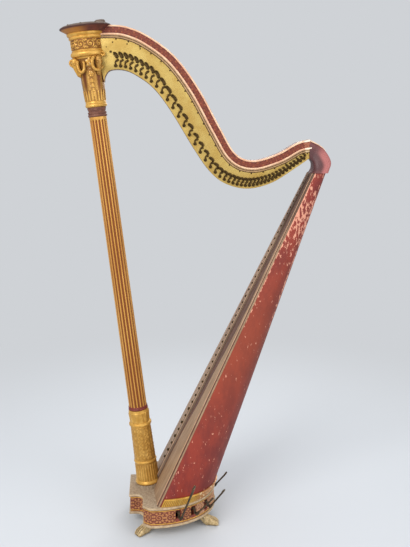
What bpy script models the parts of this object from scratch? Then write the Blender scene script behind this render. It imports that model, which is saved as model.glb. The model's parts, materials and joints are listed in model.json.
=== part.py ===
"""Single-action pedal harp with a ram's-head capital, built as separate pieces.

Metres, +Z up. The column stands on the -X side, the soundbox leans to +X, and the
player's left side, with the string mechanism, faces -Y. X = 0 is the middle of the
harp's depth, Y = 0 its median plane, and the feet stand on Z = 0.
Lengths along the column are measured on its leaning axis, from the middle of its foot ring.
"""
import bpy
import bmesh
from math import atan2, cos, pi, radians, sin, sqrt, tan
from mathutils import Matrix, Vector

GAP = 0.0003                     # between pieces that touch
OVERSHOOT = 0.01                 # how far a cutter runs past what it cuts

# Column: its foot ring, its lean towards the front and its bore for the pedal rods
COLUMN_X = -0.182
COLUMN_LEAN = radians(6.33)
COLUMN_FOOT_Z = 0.1323           # height of the foot ring's middle on the axis
COLUMN_FOOT_R = 0.0441
BORE_R = 0.0170
TURN_STEPS = 20

# Base: two boards with a hollow wall between them, on four paws
PAW_H = 0.0400
PLATE_T = 0.0080
WALL_H = 0.0560
TOP_T = 0.0090
WALL_T = 0.0140
PLATE_MARGIN = 0.0040            # how far each board stands out past the wall
TOP_MARGIN = 0.0050
NOSE_L = 0.0600                  # front of the base ahead of the column's foot
NOSE_HALF = 0.0700
NOTCH_X = -0.0120                # the re-entrant corner's step, behind the foot's middle
NOTCH_R = 0.0260
CHEEK_Y = 0.1500                 # where the step meets the canted corner
CANT_X = 0.0120
BASE_HALF_W = 0.1680
BASE_ROUND_X = 0.0340            # where the half-round back begins
BASE_BACK_X = 0.2320
ROUND_STEPS = 18
PAW_FRONT_IN = 0.0250            # front paws, in from the notch's outer corner
PAW_FRONT_TURN = 143
PAW_BACK_TURN = 57.8             # where the back paws stand on the half-round
PAW_BACK_AIM = 5
PAW_HALF_W = 0.0165

# Capital: rams' heads round it, each between two horns
RAM_R = 0.0430                   # from the column's axis
RAM_Z = 1.4180
RAM_TILT = radians(22)
RAM_HALF = (0.0130, 0.0105, 0.0280)
RAM_NEAR_TURN = 54               # from the back of the column, on either side of the neck
RAM_FAR_TURN = 118
HORN_Z = 1.4285
HORN_R = 0.0110                  # loop's half depth, out from the column
HORN_RISE = 0.0135               # and its half height
HORN_TUBE = 0.0048
HORN_OUT = 0.0265                # beside the head's middle
HORN_OUT_NECK = 0.0100           # the same where the neck is
HORN_OUT_FREE = 0.0180           # and on that head's other side
CROWN_Z = 1.4490
LID_IN = 0.0300
LID_OUT = 0.0640
LID_HALF_W = 0.0260
LID_TOP_Z = 1.5530

# Soundbox: a half-round shell behind a bellied board
BOARD_SLOPE = 0.4703             # X gained for each unit of height, front face
BACK_SLOPE = 0.3370              # the same at the back of the shell
BOARD_X = 0.0345                 # front face at the base's top
BACK_X = 0.2310
SHELL_HALF_W = 0.1640
SHELL_TOP_HALF_W = 0.0475
SHELL_TOP_Z = 1.2080
SHELL_WALL = 0.0070
BOARD_T = 0.0050
BELLY_LOW = 0.0130               # rise of the board's middle over its edges
BELLY_HIGH = 0.0015
SHELL_STATIONS = 9
RIB_HALF_LOW = 0.0170
RIB_HALF_HIGH = 0.0090
RIB_T_LOW = 0.0070
RIB_T_HIGH = 0.0040
BAND_H = 0.0270
BAND_T = 0.0035
BAND_BEAD = 0.0020
SOUND_HOLES = (0.27, 0.47, 0.66, 0.84, 1.00)
SOUND_HOLE_L = 0.0900
SOUND_HOLE_W = 0.0360

# Neck: its two edges, in the side view, measured from the column's foot
NECK_TOP = ((-0.150, 1.6600), (-0.100, 1.6635), (-0.043, 1.659), (0.025, 1.632), (0.107, 1.572), (0.181, 1.476),
            (0.250, 1.353), (0.300, 1.272), (0.357, 1.249), (0.435, 1.270), (0.500, 1.305), (0.5412, 1.3145))
NECK_LOW = ((-0.1135, 1.494), (-0.1105, 1.511), (-0.0950, 1.5285), (-0.055, 1.530), (-0.016, 1.515),
            (0.039, 1.475), (0.093, 1.405), (0.166, 1.286), (0.218, 1.213), (0.269, 1.174),
            (0.341, 1.158), (0.420, 1.177), (0.498, 1.225), (0.5412, 1.255))
NECK_HALF_T = 0.0170
NECK_BAND_W = 0.0390             # carved and painted border along the top edge
NECK_BAND_HALF_T = 0.0240
ACTION_PLATE_T = 0.0030
EDGE_STEPS = 34

# Shoulder: its inner and outer edges, from the soundbox up to the neck
SHOULDER_IN = ((0.5475, 1.2083), (0.5535, 1.222), (0.5520, 1.240), (0.5415, 1.2555))
SHOULDER_OUT = ((0.6030, 1.2083), (0.6130, 1.246), (0.5850, 1.288), (0.5415, 1.3130))

# Strings: their lines run up parallel to the column
STRINGS = 43
STRING_FIRST_Q = 0.0935          # first string's line, where it would meet the floor
STRING_END_IN = 0.0182           # last string's line, in from the neck's end
STRING_PITCH_LOSS = 0.0000812    # each gap is this much narrower than the last
STRING_HOLE_R = 0.0022
DISC_EDGE = 0.0110               # the forks' row above the neck's lower edge
DISC_R = 0.0055
DISC_T = 0.0024
ARBOR_R = 0.0022
ARBOR_L = 0.0030
ARBOR_SIDES = 10
PRONG_R = 0.0011
PRONG_L = 0.0050
PIN_RISE_BASS = 0.0370           # tuning pins above the forks
PIN_RISE_TREBLE = 0.0092
PIN_R = 0.0030
PIN_L = 0.0140
PIN_SQUARE = 0.0026
FIRST_MOVING_FORK = 12
MOVING_FORKS = 14

# Pedals: levers that radiate from the column's foot and leave through the wall.
# For each: its slot's angle, its foot's angle, how far the foot is folded up, and its length
PEDALS = {
    "d": (-57, -30, 68, 0.138),
    "c": (-41, -30, 50, 0.090),
    "b": (-25, -32, 54, 0.090),
    "e": (11, -24, 52, 0.070),
    "f": (27, 28, 84, 0.090),
    "g": (43, 41, 84, 0.090),
    "a": (59, 40, 78, 0.138),
}
PEDAL_Z = 0.0890
PEDAL_PIVOT_R = 0.0750
PEDAL_BEND_OUT = 0.0030          # where the lever turns down, outside the wall
PEDAL_OUT = 0.0180               # the foot's hinge, outside the wall
PEDAL_DROP = 0.0140              # and below the lever's inner run
PEDAL_END_L = 0.0090             # last straight run of the lever, in the foot's direction
PEDAL_TIP_L = 0.0180             # narrow inner end, under the rods
PEDAL_TAPER_L = 0.0120
PEDAL_HALF_W = 0.0035
PEDAL_HALF_H = 0.0035
PEDAL_TIP_HALF_W = 0.0014
PEDAL_TRAVEL = radians(8)
TRUNNION_R = 0.0025
CHEEK_T = 0.0035
CHEEK_L = 0.0140
CHEEK_RISE = 0.0060
EYE_R = 0.0052
EYE_HALF_W = 0.0038
RIVET_R = 0.0018
FORK_CHEEK_T = 0.0025
FOOT_HALF_W = 0.0065
FOOT_T = 0.0050
TOE_L = 0.0160
ROD_R = 0.0015
ROD_RING_R = 0.0125
ROD_TOP = 1.4300

PLATE_TOP_Z = PAW_H + PLATE_T
WALL_TOP_Z = PLATE_TOP_Z + WALL_H
BASE_TOP_Z = WALL_TOP_Z + TOP_T
AXIS = Vector((-sin(COLUMN_LEAN), 0, cos(COLUMN_LEAN)))


# Scene, materials and small tools

def clear_scene():
    """Empty the scene of its objects."""
    for old in list(bpy.data.objects):
        bpy.data.objects.remove(old, do_unlink=True)


def collection(name):
    """A new collection in the scene."""
    made = bpy.data.collections.new(name)
    bpy.context.scene.collection.children.link(made)
    return made


def material(name, colour, roughness, metallic=0.0):
    """A Principled material of one colour."""
    made = bpy.data.materials.new(name)
    made.use_nodes = True
    shader = made.node_tree.nodes["Principled BSDF"]
    shader.inputs["Base Color"].default_value = (*colour, 1)
    shader.inputs["Roughness"].default_value = roughness
    shader.inputs["Metallic"].default_value = metallic
    made.diffuse_color = (*colour, 1)
    return made


def make_materials():
    """One material for each finish of the harp."""
    return {
        "gilt": material("gilt", (0.56, 0.29, 0.06), 0.38, 0.7),
        "fluted_gilt": material("fluted_gilt", (0.62, 0.31, 0.08), 0.42, 0.5),
        "red_paint": material("red_paint", (0.30, 0.05, 0.035), 0.45),
        "dark_red": material("dark_red", (0.16, 0.03, 0.02), 0.45),
        "base_red": material("base_red", (0.36, 0.09, 0.05), 0.5),
        "worn_board": material("worn_board", (0.40, 0.31, 0.23), 0.7),
        "spruce": material("spruce", (0.38, 0.25, 0.14), 0.55),
        "crown_wood": material("crown_wood", (0.20, 0.16, 0.13), 0.7),
        "brass": material("brass", (0.66, 0.50, 0.20), 0.32, 1.0),
        "dark_iron": material("dark_iron", (0.05, 0.045, 0.04), 0.45, 0.9),
        "paw_gilt": material("paw_gilt", (0.55, 0.44, 0.22), 0.4, 0.6),
    }


def mesh_object(name, bm, where, finish=None, parent=None):
    """Turn a bmesh into a named object with outward faces."""
    bmesh.ops.recalc_face_normals(bm, faces=bm.faces)
    mesh = bpy.data.meshes.new(name)
    bm.to_mesh(mesh)
    bm.free()
    made = bpy.data.objects.new(name, mesh)
    where.objects.link(made)
    if finish is not None:
        mesh.materials.append(finish)
    made.parent = parent
    return made


def smooth(made, angle=35):
    """Shade a round piece smooth, with sharp edges kept."""
    made.data.shade_smooth()
    made.data.set_sharp_from_angle(angle=radians(angle))
    return made


def loft(name, rings, where, finish=None, parent=None, closed=False):
    """Skin equal closed rings of points in order; cap the ends, or close the loop."""
    bm = bmesh.new()
    rows = [[bm.verts.new(p) for p in ring] for ring in rings]
    pairs = list(zip(rows, rows[1:]))
    if closed:
        pairs.append((rows[-1], rows[0]))
    for low, high in pairs:
        for i in range(len(low)):
            j = (i + 1) % len(low)
            bm.faces.new((low[i], low[j], high[j], high[i]))
    if not closed:
        bm.faces.new(rows[0])
        bm.faces.new(rows[-1])
    return mesh_object(name, bm, where, finish, parent)


def extrude_outline(name, points, low, high, where, finish=None, parent=None, upright=False):
    """Extrude a closed flat outline; upright ones lie in XZ and run along Y."""
    def at(p, level):
        return Vector((p[0], level, p[1])) if upright else Vector((p[0], p[1], level))
    return loft(name, [[at(p, low) for p in points], [at(p, high) for p in points]],
                where, finish, parent)


def turned(name, profile, where, finish=None, parent=None, steps=TURN_STEPS):
    """Turn a profile of (height, radius), given bottom to top, about local Z."""
    bm = bmesh.new()
    verts = [bm.verts.new((radius, 0, height)) for height, radius in reversed(profile)]
    for a, b in zip(verts, verts[1:]):
        bm.edges.new((a, b))
    mesh = bpy.data.meshes.new(name)
    bm.to_mesh(mesh)
    bm.free()
    made = bpy.data.objects.new(name, mesh)
    where.objects.link(made)
    screw = made.modifiers.new("turn", "SCREW")
    screw.axis = "Z"
    screw.steps = steps
    screw.render_steps = steps
    screw.use_merge_vertices = True
    screw.merge_threshold = 0.00001
    if finish is not None:
        mesh.materials.append(finish)
    made.parent = parent
    return made


def cylinder(name, radius, low, high, where, sides, parent=None, finish=None):
    """A closed prism with round section on local Z."""
    bm = bmesh.new()
    bmesh.ops.create_cone(bm, cap_ends=True, segments=sides, radius1=radius, radius2=radius, depth=high - low)
    bmesh.ops.translate(bm, verts=bm.verts, vec=(0, 0, (low + high) / 2))
    return mesh_object(name, bm, where, finish, parent)


def box(name, low, high, where, finish=None, parent=None, turn=None):
    """A closed box from its corners, turned about the origin of its parent."""
    bm = bmesh.new()
    bmesh.ops.create_cube(bm, size=1)
    size = [b - a for a, b in zip(low, high)]
    middle = [(a + b) / 2 for a, b in zip(low, high)]
    bmesh.ops.scale(bm, verts=bm.verts, vec=size)
    bmesh.ops.translate(bm, verts=bm.verts, vec=middle)
    if turn is not None:
        bmesh.ops.transform(bm, verts=bm.verts, matrix=turn)
    return mesh_object(name, bm, where, finish, parent)


def joined(name, pieces, where, parent=None):
    """Join objects that share a parent's frame into one, without a union."""
    bm = bmesh.new()
    for piece in pieces:
        part = bmesh.new()
        part.from_mesh(piece.data)
        part.transform(piece.matrix_basis)
        spare = bpy.data.meshes.new("spare")
        part.to_mesh(spare)
        part.free()
        bm.from_mesh(spare)
        bpy.data.meshes.remove(spare)
        bpy.data.objects.remove(piece, do_unlink=True)
    mesh = bpy.data.meshes.new(name)
    bm.to_mesh(mesh)
    bm.free()
    made = bpy.data.objects.new(name, mesh)
    where.objects.link(made)
    made.parent = parent
    return made


def boolean(made, cutter, operation="DIFFERENCE"):
    """Cut or join by another object, which is kept as a hidden guide."""
    cut = made.modifiers.new(operation.lower(), "BOOLEAN")
    cut.operation = operation
    cut.solver = "EXACT"
    cut.object = cutter
    cutter.hide_render = True
    cutter.display_type = "WIRE"
    return made


def bevel(made, width, segments=1):
    """Ease a piece's edges."""
    eased = made.modifiers.new("eased", "BEVEL")
    eased.width = width
    eased.segments = segments
    eased.limit_method = "ANGLE"
    eased.angle_limit = radians(50)
    return made


def curve_through(knots, steps):
    """Points on a Catmull-Rom curve through the knots, evenly spaced in X-Z distance."""
    ends = [2 * Vector(knots[0]) - Vector(knots[1])] + [Vector(k) for k in knots]
    ends.append(2 * Vector(knots[-1]) - Vector(knots[-2]))
    fine = []
    for a, b, c, d in zip(ends, ends[1:], ends[2:], ends[3:]):
        for k in range(20):
            t = k / 20
            fine.append(0.5 * (2 * b + (c - a) * t + (2 * a - 5 * b + 4 * c - d) * t * t
                               + (3 * b - a - 3 * c + d) * t ** 3))
    fine.append(Vector(knots[-1]))
    run = [0.0]
    for a, b in zip(fine, fine[1:]):
        run.append(run[-1] + (b - a).length)
    spaced = []
    k = 0
    for i in range(steps + 1):
        goal = run[-1] * i / steps
        while k < len(run) - 2 and run[k + 1] < goal:
            k += 1
        share = (goal - run[k]) / (run[k + 1] - run[k])
        spaced.append(fine[k].lerp(fine[k + 1], share))
    return spaced


def offset_line(points, distance):
    """The same line moved sideways, to the right of its direction when distance is positive."""
    moved = []
    for i, p in enumerate(points):
        a = points[max(i - 1, 0)]
        b = points[min(i + 1, len(points) - 1)]
        along = (b - a).normalized()
        moved.append(p + Vector((along.y, -along.x)) * distance)
    return moved


# Base

def base_outline(margin):
    """Plan of the base: nose, re-entrant corners, canted corners and half-round back."""
    front = -NOSE_L - margin
    side = NOSE_HALF + margin
    step = NOTCH_X - margin
    half = [(front, side)]
    for k in range(5):
        turn = pi / 2 * k / 4
        half.append((step - NOTCH_R + NOTCH_R * sin(turn), side + NOTCH_R - NOTCH_R * cos(turn)))
    half.append((step, CHEEK_Y + margin / 2))
    half.append((CANT_X - margin / 2, BASE_HALF_W + margin))
    depth = BASE_BACK_X - BASE_ROUND_X + margin
    width = BASE_HALF_W + margin
    for k in range(ROUND_STEPS // 2):
        turn = pi / 2 * k / (ROUND_STEPS // 2)
        half.append((BASE_ROUND_X + depth * sin(turn), width * cos(turn)))
    back = [(BASE_ROUND_X + depth, 0)]
    return half + back + [(x, -y) for x, y in reversed(half)]


def wall_reach(angle):
    """Distance from the column's foot to the wall's outside, in one direction."""
    depth = BASE_BACK_X - BASE_ROUND_X
    c, s = cos(angle), sin(angle)
    a = (c / depth) ** 2 + (s / BASE_HALF_W) ** 2
    b = -2 * BASE_ROUND_X * c / depth ** 2
    d = (BASE_ROUND_X / depth) ** 2 - 1
    return (-b + sqrt(b * b - 4 * a * d)) / (2 * a)


def make_base(parts, cutters, finish, root, column):
    """Bottom board with the pedals' bearings, hollow wall with its slots, and top board."""
    plate = extrude_outline("base_plate", base_outline(PLATE_MARGIN), PAW_H, PLATE_TOP_Z,
                            parts, finish["worn_board"], root)
    cheeks = []
    holes = []
    slots = []
    for angle, _, _, _ in PEDALS.values():
        turn = Matrix.Rotation(radians(angle), 4, "Z")
        inner = PEDAL_HALF_W + GAP
        for side in (-1, 1):
            ends = sorted((side * inner, side * (inner + CHEEK_T)))
            cheeks.append(box("cheek", (PEDAL_PIVOT_R - CHEEK_L / 2, ends[0], PLATE_TOP_Z - PLATE_T / 2),
                              (PEDAL_PIVOT_R + CHEEK_L / 2, ends[1], PEDAL_Z + CHEEK_RISE), cutters, turn=turn))
        hole = cylinder("hole", TRUNNION_R + GAP, -inner - CHEEK_T * 1.4, inner + CHEEK_T * 1.4, cutters, 8)
        hole.matrix_local = turn @ Matrix.Translation((PEDAL_PIVOT_R, 0, PEDAL_Z)) @ Matrix.Rotation(pi / 2, 4, "X")
        holes.append(hole)
        reach = wall_reach(radians(angle))
        swing = (reach - PEDAL_PIVOT_R) * sin(PEDAL_TRAVEL)
        slack = PEDAL_HALF_W + 0.0045
        slots.append(box("slot", (reach - 0.045, -slack, PEDAL_Z - PEDAL_HALF_H - swing - 0.004),
                         (reach + OVERSHOOT, slack, PEDAL_Z + PEDAL_HALF_H + 0.002), cutters, turn=turn))
    boolean(plate, joined("pedal_cheeks", cheeks, cutters, root), "UNION")
    boolean(plate, joined("trunnion_holes", holes, cutters, root))

    wall = extrude_outline("base_wall", base_outline(0), PLATE_TOP_Z + GAP, WALL_TOP_Z - GAP,
                           parts, finish["base_red"], root)
    inside = extrude_outline("wall_inside", base_outline(-WALL_T), PAW_H, BASE_TOP_Z, cutters, parent=root)
    boolean(wall, inside)
    boolean(wall, joined("pedal_slots", slots, cutters, root))

    top = extrude_outline("base_top", base_outline(TOP_MARGIN), WALL_TOP_Z, BASE_TOP_Z,
                          parts, finish["worn_board"], root)
    boolean(top, cylinder("rod_well", BORE_R, -0.06, 0.0, cutters, TURN_STEPS, column))


def make_paws(parts, finish, root):
    """Four lion's paws under the bottom board, each on a flat sole."""
    top = PAW_H - GAP
    side = ((-0.030, top), (-0.030, 0.028), (-0.012, 0.016), (-0.004, 0.0), (0.036, 0.0), (0.043, 0.006),
            (0.043, 0.016), (0.036, 0.024), (0.022, 0.029), (0.010, 0.034), (0.004, top))
    front = (NOTCH_X + 0.0080, CHEEK_Y - PAW_FRONT_IN)
    turn = radians(PAW_BACK_TURN)
    back = (BASE_ROUND_X + (BASE_BACK_X - BASE_ROUND_X) * sin(turn), BASE_HALF_W * cos(turn))
    places = {"paw_front_left": (front[0], -front[1], -PAW_FRONT_TURN),
              "paw_front_right": (front[0], front[1], PAW_FRONT_TURN),
              "paw_back_left": (back[0], -back[1], -PAW_BACK_AIM),
              "paw_back_right": (back[0], back[1], PAW_BACK_AIM)}
    for name, (x, y, angle) in places.items():
        rings = []
        ease = PAW_HALF_W - 0.0045
        for level, share in ((-PAW_HALF_W, 0.86), (-ease, 1.0), (ease, 1.0), (PAW_HALF_W, 0.86)):
            rings.append([Vector((d * share, level, z)) for d, z in side])
        paw = loft(name, rings, parts, finish["paw_gilt"], root)
        paw.location = (x, y, 0)
        paw.rotation_euler = (0, 0, radians(angle))


# Column

def make_column(parts, cutters, finish, column):
    """Plinth, turned foot, fluted shaft and collar rings, all bored for the pedal rods."""
    bore = cylinder("column_bore", BORE_R, -0.10, 1.47, cutters, TURN_STEPS, column)

    plinth = turned("column_plinth", ((-0.030, 0), (-0.030, COLUMN_FOOT_R), (-0.0068, COLUMN_FOOT_R), (-0.0058, 0)),
                    parts, finish["worn_board"], column)
    ground = box("plinth_ground", (-0.2, -0.2, -0.2), (0.2, 0.2, BASE_TOP_Z + GAP), cutters,
                 parent=column.parent)
    boolean(plinth, ground)
    boolean(plinth, bore)

    foot = turned("column_foot", (
        (-0.0055, 0), (-0.0055, 0.0405), (0.0, COLUMN_FOOT_R), (0.0055, 0.0410), (0.0085, 0.0395), (0.0400, 0.0380),
        (0.0735, 0.0375), (0.0755, 0.0395), (0.0805, 0.0395), (0.0830, 0.0372), (0.1450, 0.0358),
        (0.2080, 0.0345), (0.2115, 0.0378), (0.2160, 0.0390), (0.2205, 0.0376), (0.2230, 0.0336),
        (0.2420, 0.0345), (0.2600, 0.0355), (0.2620, 0.0345), (0.2690, 0.0340), (0.2692, 0)),
        parts, finish["gilt"], column)
    boolean(foot, bore)

    flutes = 16
    ends = []
    for height, radius in ((0.2695, 0.0308), (1.2622, 0.0272)):
        ring = []
        for k in range(flutes * 4):
            depth = (0.0, 0.0, 0.86, 0.86)[k % 4] * 0.0030
            turn = 2 * pi * (k + (0, 0.1, 0.35, -0.25)[k % 4]) / (flutes * 4)
            ring.append(Vector(((radius - depth) * cos(turn), (radius - depth) * sin(turn), height)))
        ends.append(ring)
    shaft = loft("column_shaft", ends, parts, finish["fluted_gilt"], column)
    boolean(shaft, bore)

    collar = turned("column_collar", (
        (1.2625, 0), (1.2625, 0.0285), (1.2660, 0.0305), (1.2700, 0.0285), (1.2740, 0.0300), (1.2790, 0.0270),
        (1.2830, 0.0285), (1.2880, 0.0300), (1.2920, 0.0290), (1.2922, 0)), parts, finish["dark_red"], column)
    boolean(collar, bore)
    return bore


def capital_side(grow=0.0):
    """Side of the capital's turned body, from its astragal ring to under the crown."""
    return tuple((height, radius + grow) for height, radius in (
        (1.2925, 0.0325), (1.2990, 0.0342), (1.3045, 0.0330), (1.3100, 0.0322), (1.3500, 0.0352),
        (1.3850, 0.0366), (1.4150, 0.0385), (1.4385, 0.0440), (1.4485, 0.0490)))


def crown_side(grow=0.0):
    """Side of the crown: torus band, drum, cornice and thin flared rim."""
    return tuple((height, radius + grow) for height, radius in (
        (CROWN_Z, 0.0520), (1.4540, 0.0560), (1.4620, 0.0570), (1.4700, 0.0545), (1.4740, 0.0525),
        (1.5000, 0.0535), (1.5030, 0.0570), (1.5090, 0.0578), (1.5170, 0.0625), (1.5250, 0.0700),
        (1.5305, 0.0790), (1.5335, 0.0808), (1.5355, 0.0795)))


def closed(side):
    """A side closed to the axis at both ends."""
    return ((side[0][0], 0),) + side + ((side[-1][0] + 0.0003, 0),)


def make_capital(parts, cutters, finish, column, bore):
    """Capital with four rams' heads and their horns, the crown over it and the crown's lid."""
    lumps = []
    for turn, neck_side in ((RAM_NEAR_TURN, -1), (-RAM_NEAR_TURN, 1), (RAM_FAR_TURN, 0), (-RAM_FAR_TURN, 0)):
        around = Matrix.Rotation(radians(turn), 4, "Z")
        bm = bmesh.new()
        bmesh.ops.create_uvsphere(bm, u_segments=8, v_segments=6, radius=1)
        head = mesh_object("head", bm, cutters)
        head.matrix_local = (around @ Matrix.Translation((RAM_R, 0, RAM_Z)) @ Matrix.Rotation(-RAM_TILT, 4, "Y")
                             @ Matrix.Diagonal((*RAM_HALF, 1)))
        lumps.append(head)
        for side in (-1, 1):
            out = HORN_OUT
            if neck_side:
                out = HORN_OUT_NECK if side == neck_side else HORN_OUT_FREE
            rings = []
            for k in range(9):
                swing = 2 * pi * k / 9
                middle = Vector((RAM_R + HORN_R * cos(swing), side * out, HORN_Z + HORN_RISE * sin(swing)))
                away = Vector((cos(swing), 0, sin(swing)))
                rings.append([middle + HORN_TUBE * (away * cos(a) + Vector((0, sin(a), 0)))
                              for a in (2 * pi * j / 4 for j in range(4))])
            horn = loft("horn", rings, cutters, closed=True)
            horn.matrix_local = around
            lumps.append(horn)
    capital = turned("capital", closed(capital_side()), parts, finish["gilt"], column)
    for k, lump in enumerate(lumps):
        lump.name = "capital_lump_%d" % (k + 1)
        lump.parent = column
        boolean(capital, lump, "UNION")
    over = turned("capital_top", ((CROWN_Z - GAP, 0), (CROWN_Z - GAP, 0.09), (1.4700, 0.09), (1.4700, 0)),
                  cutters, parent=column)
    boolean(capital, over)
    boolean(capital, bore)
    crown = turned("crown", closed(crown_side()), parts, finish["gilt"], column)
    boolean(crown, bore)
    lid = box("crown_lid", (LID_IN, -LID_HALF_W, 1.5300), (LID_OUT, LID_HALF_W, LID_TOP_Z), parts,
              finish["crown_wood"], column)
    bevel(lid, 0.004)
    seat = turned("lid_seat", closed(crown_side(GAP)), cutters, parent=column)
    seat.location = (0, 0, GAP)
    boolean(lid, seat)


# Soundbox

def share_up(z):
    """0 at the base's top and 1 at the soundbox's top."""
    return (z - BASE_TOP_Z) / (SHELL_TOP_Z - BASE_TOP_Z)


def mix(low, high, z):
    """A size that changes steadily up the soundbox."""
    return low + (high - low) * share_up(z)


def board_x(z):
    """The board's edge, at its front face."""
    return BOARD_X + BOARD_SLOPE * (z - BASE_TOP_Z)


def back_x(z):
    """The shell's back, on the median plane."""
    return BACK_X + BACK_SLOPE * (z - BASE_TOP_Z)


def half_width(z):
    """Half the shell's width at its front edge."""
    return mix(SHELL_HALF_W, SHELL_TOP_HALF_W, z)


def belly(z):
    """How far the board's middle stands forward of its edges, along X."""
    return mix(BELLY_LOW, BELLY_HIGH, z) / cos(atan2(BOARD_SLOPE, 1))


def heights(count):
    """Evenly spaced levels from the base's top to the soundbox's top."""
    low = BASE_TOP_Z + GAP
    return [low + (SHELL_TOP_Z - GAP - low) * k / (count - 1) for k in range(count)]


def half_round(z, inset, steps, front):
    """Half ellipse of the shell at one level, from the left edge round the back."""
    depth = back_x(z) - front - inset
    width = half_width(z) - inset
    return [Vector((front + depth * sin(pi * k / steps), -width * cos(pi * k / steps), z)) for k in range(steps + 1)]


def make_soundbox(parts, cutters, finish, root, column):
    """Half-round shell with sound holes, its gilt foot band, the bellied board and the string rib."""
    slant = cos(atan2(BOARD_SLOPE, 1))
    rings = []
    for z in heights(SHELL_STATIONS):
        front = board_x(z) + (BOARD_T + GAP) / slant
        rings.append(half_round(z, 0, 14, front) + list(reversed(half_round(z, SHELL_WALL, 14, front))))
    shell = loft("soundbox_shell", rings, parts, finish["red_paint"], root)
    holes = []
    tilt = Matrix.Rotation(atan2(BACK_SLOPE, 1), 4, "Y")
    for height in SOUND_HOLES:
        shrink = half_width(height) / SHELL_HALF_W
        wide = SOUND_HOLE_W / 2 * (0.45 + 0.55 * shrink)
        outline = []
        for end in (1, -1):
            for k in range(5):
                turn = end * pi / 2 - pi / 2 + pi * k / 4
                outline.append((wide * cos(turn), end * (SOUND_HOLE_L / 2 - wide) + wide * sin(turn)))
        hole = loft("sound_hole", [[Vector((d, y, z)) for y, z in outline] for d in (-0.03, 0.03)], cutters)
        hole.matrix_local = Matrix.Translation((back_x(height), 0, height)) @ tilt
        holes.append(hole)
    boolean(shell, joined("sound_holes", holes, cutters, root))

    steps = 24
    stations = []
    for k in range(steps + 1):
        turn = pi * k / steps
        ring = []
        for out, up in ((GAP, GAP), (BAND_T, GAP), (BAND_T, BAND_H - 0.004), (BAND_T + BAND_BEAD, BAND_H - 0.002),
                        (BAND_T, BAND_H), (GAP, BAND_H)):
            z = BASE_TOP_Z + up
            front = board_x(z) + (BOARD_T + GAP) / slant + 0.004
            depth = back_x(z) - front + out
            width = half_width(z) + out
            ring.append(Vector((front + depth * sin(turn), -width * cos(turn), z)))
        stations.append(ring)
    loft("soundbox_band", stations, parts, finish["gilt"], root)

    across = 10
    rings = []
    for z in heights(SHELL_STATIONS):
        outer = []
        inner = []
        for k in range(across + 1):
            side = -1 + 2 * k / across
            rise = belly(z) * (1 - side * side)
            y = side * half_width(z)
            outer.append(Vector((board_x(z) - rise, y, z)))
            inner.append(Vector((board_x(z) - rise + BOARD_T / slant, y, z)))
        rings.append(outer + list(reversed(inner)))
    board = loft("soundboard", rings, parts, finish["spruce"], root)
    room = cylinder("column_room", COLUMN_FOOT_R + 2 * GAP, -0.05, 0.13, cutters, 40, column)
    boolean(board, room)

    rings = []
    for z in heights(SHELL_STATIONS):
        half = mix(RIB_HALF_LOW, RIB_HALF_HIGH, z)
        seat = board_x(z) - belly(z) - GAP / slant
        face = seat - mix(RIB_T_LOW, RIB_T_HIGH, z) / slant
        rings.append([Vector((seat, -half, z)), Vector((face, -half, z)), Vector((face, half, z)), Vector((seat, half, z))])
    rib = loft("string_rib", rings, parts, finish["spruce"], root)
    boolean(rib, room)
    holes = []
    for k in range(STRINGS):
        z, x = string_hole(k)
        hole = cylinder("hole", STRING_HOLE_R, -0.02, 0.02, cutters, 4)
        hole.matrix_local = (Matrix.Translation((x, 0, z))
                             @ Matrix.Rotation(pi / 2 + atan2(BOARD_SLOPE, 1), 4, "Y"))
        holes.append(hole)
    boolean(rib, joined("string_holes", holes, cutters, root))


# Strings' places

def string_line(k):
    """Where string k's line, which runs parallel to the column, would meet the floor."""
    last = NECK_LOW[-1][0] + tan(COLUMN_LEAN) * NECK_LOW[-1][1] - STRING_END_IN
    pitch = (last - STRING_FIRST_Q) / (STRINGS - 1) + STRING_PITCH_LOSS * (STRINGS - 2) / 2
    return STRING_FIRST_Q + pitch * k - STRING_PITCH_LOSS * k * (k - 1) / 2


def string_hole(k):
    """Height and X of string k's hole in the rib."""
    q = string_line(k)
    lean = tan(COLUMN_LEAN)
    z = BASE_TOP_Z
    for _ in range(30):
        x = board_x(z) - belly(z)
        z += (q - lean * z - x) / (BOARD_SLOPE + lean)
    return z, board_x(z) - belly(z)


def fork_place(k):
    """X and Z of string k's fork: its line's meeting with a row above the neck's lower edge."""
    row = offset_line(curve_through(NECK_LOW, 120), -DISC_EDGE)
    q = string_line(k)
    lean = tan(COLUMN_LEAN)
    for a, b in zip(row, row[1:]):
        qa = a.x + lean * a.y
        qb = b.x + lean * b.y
        if qa <= q < qb:
            share = (q - qa) / (qb - qa)
            return a.lerp(b, share)
    return row[-1]


def pin_place(k):
    """X and Z of string k's tuning pin, above its fork on the same line."""
    rise = PIN_RISE_BASS + (PIN_RISE_TREBLE - PIN_RISE_BASS) * k / (STRINGS - 1)
    fork = fork_place(k)
    return fork + Vector((-sin(COLUMN_LEAN), cos(COLUMN_LEAN))) * rise


def is_moving(k):
    """Whether string k's fork is one of the moving nodes."""
    return FIRST_MOVING_FORK <= k < FIRST_MOVING_FORK + MOVING_FORKS


# Neck, shoulder and action

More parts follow.
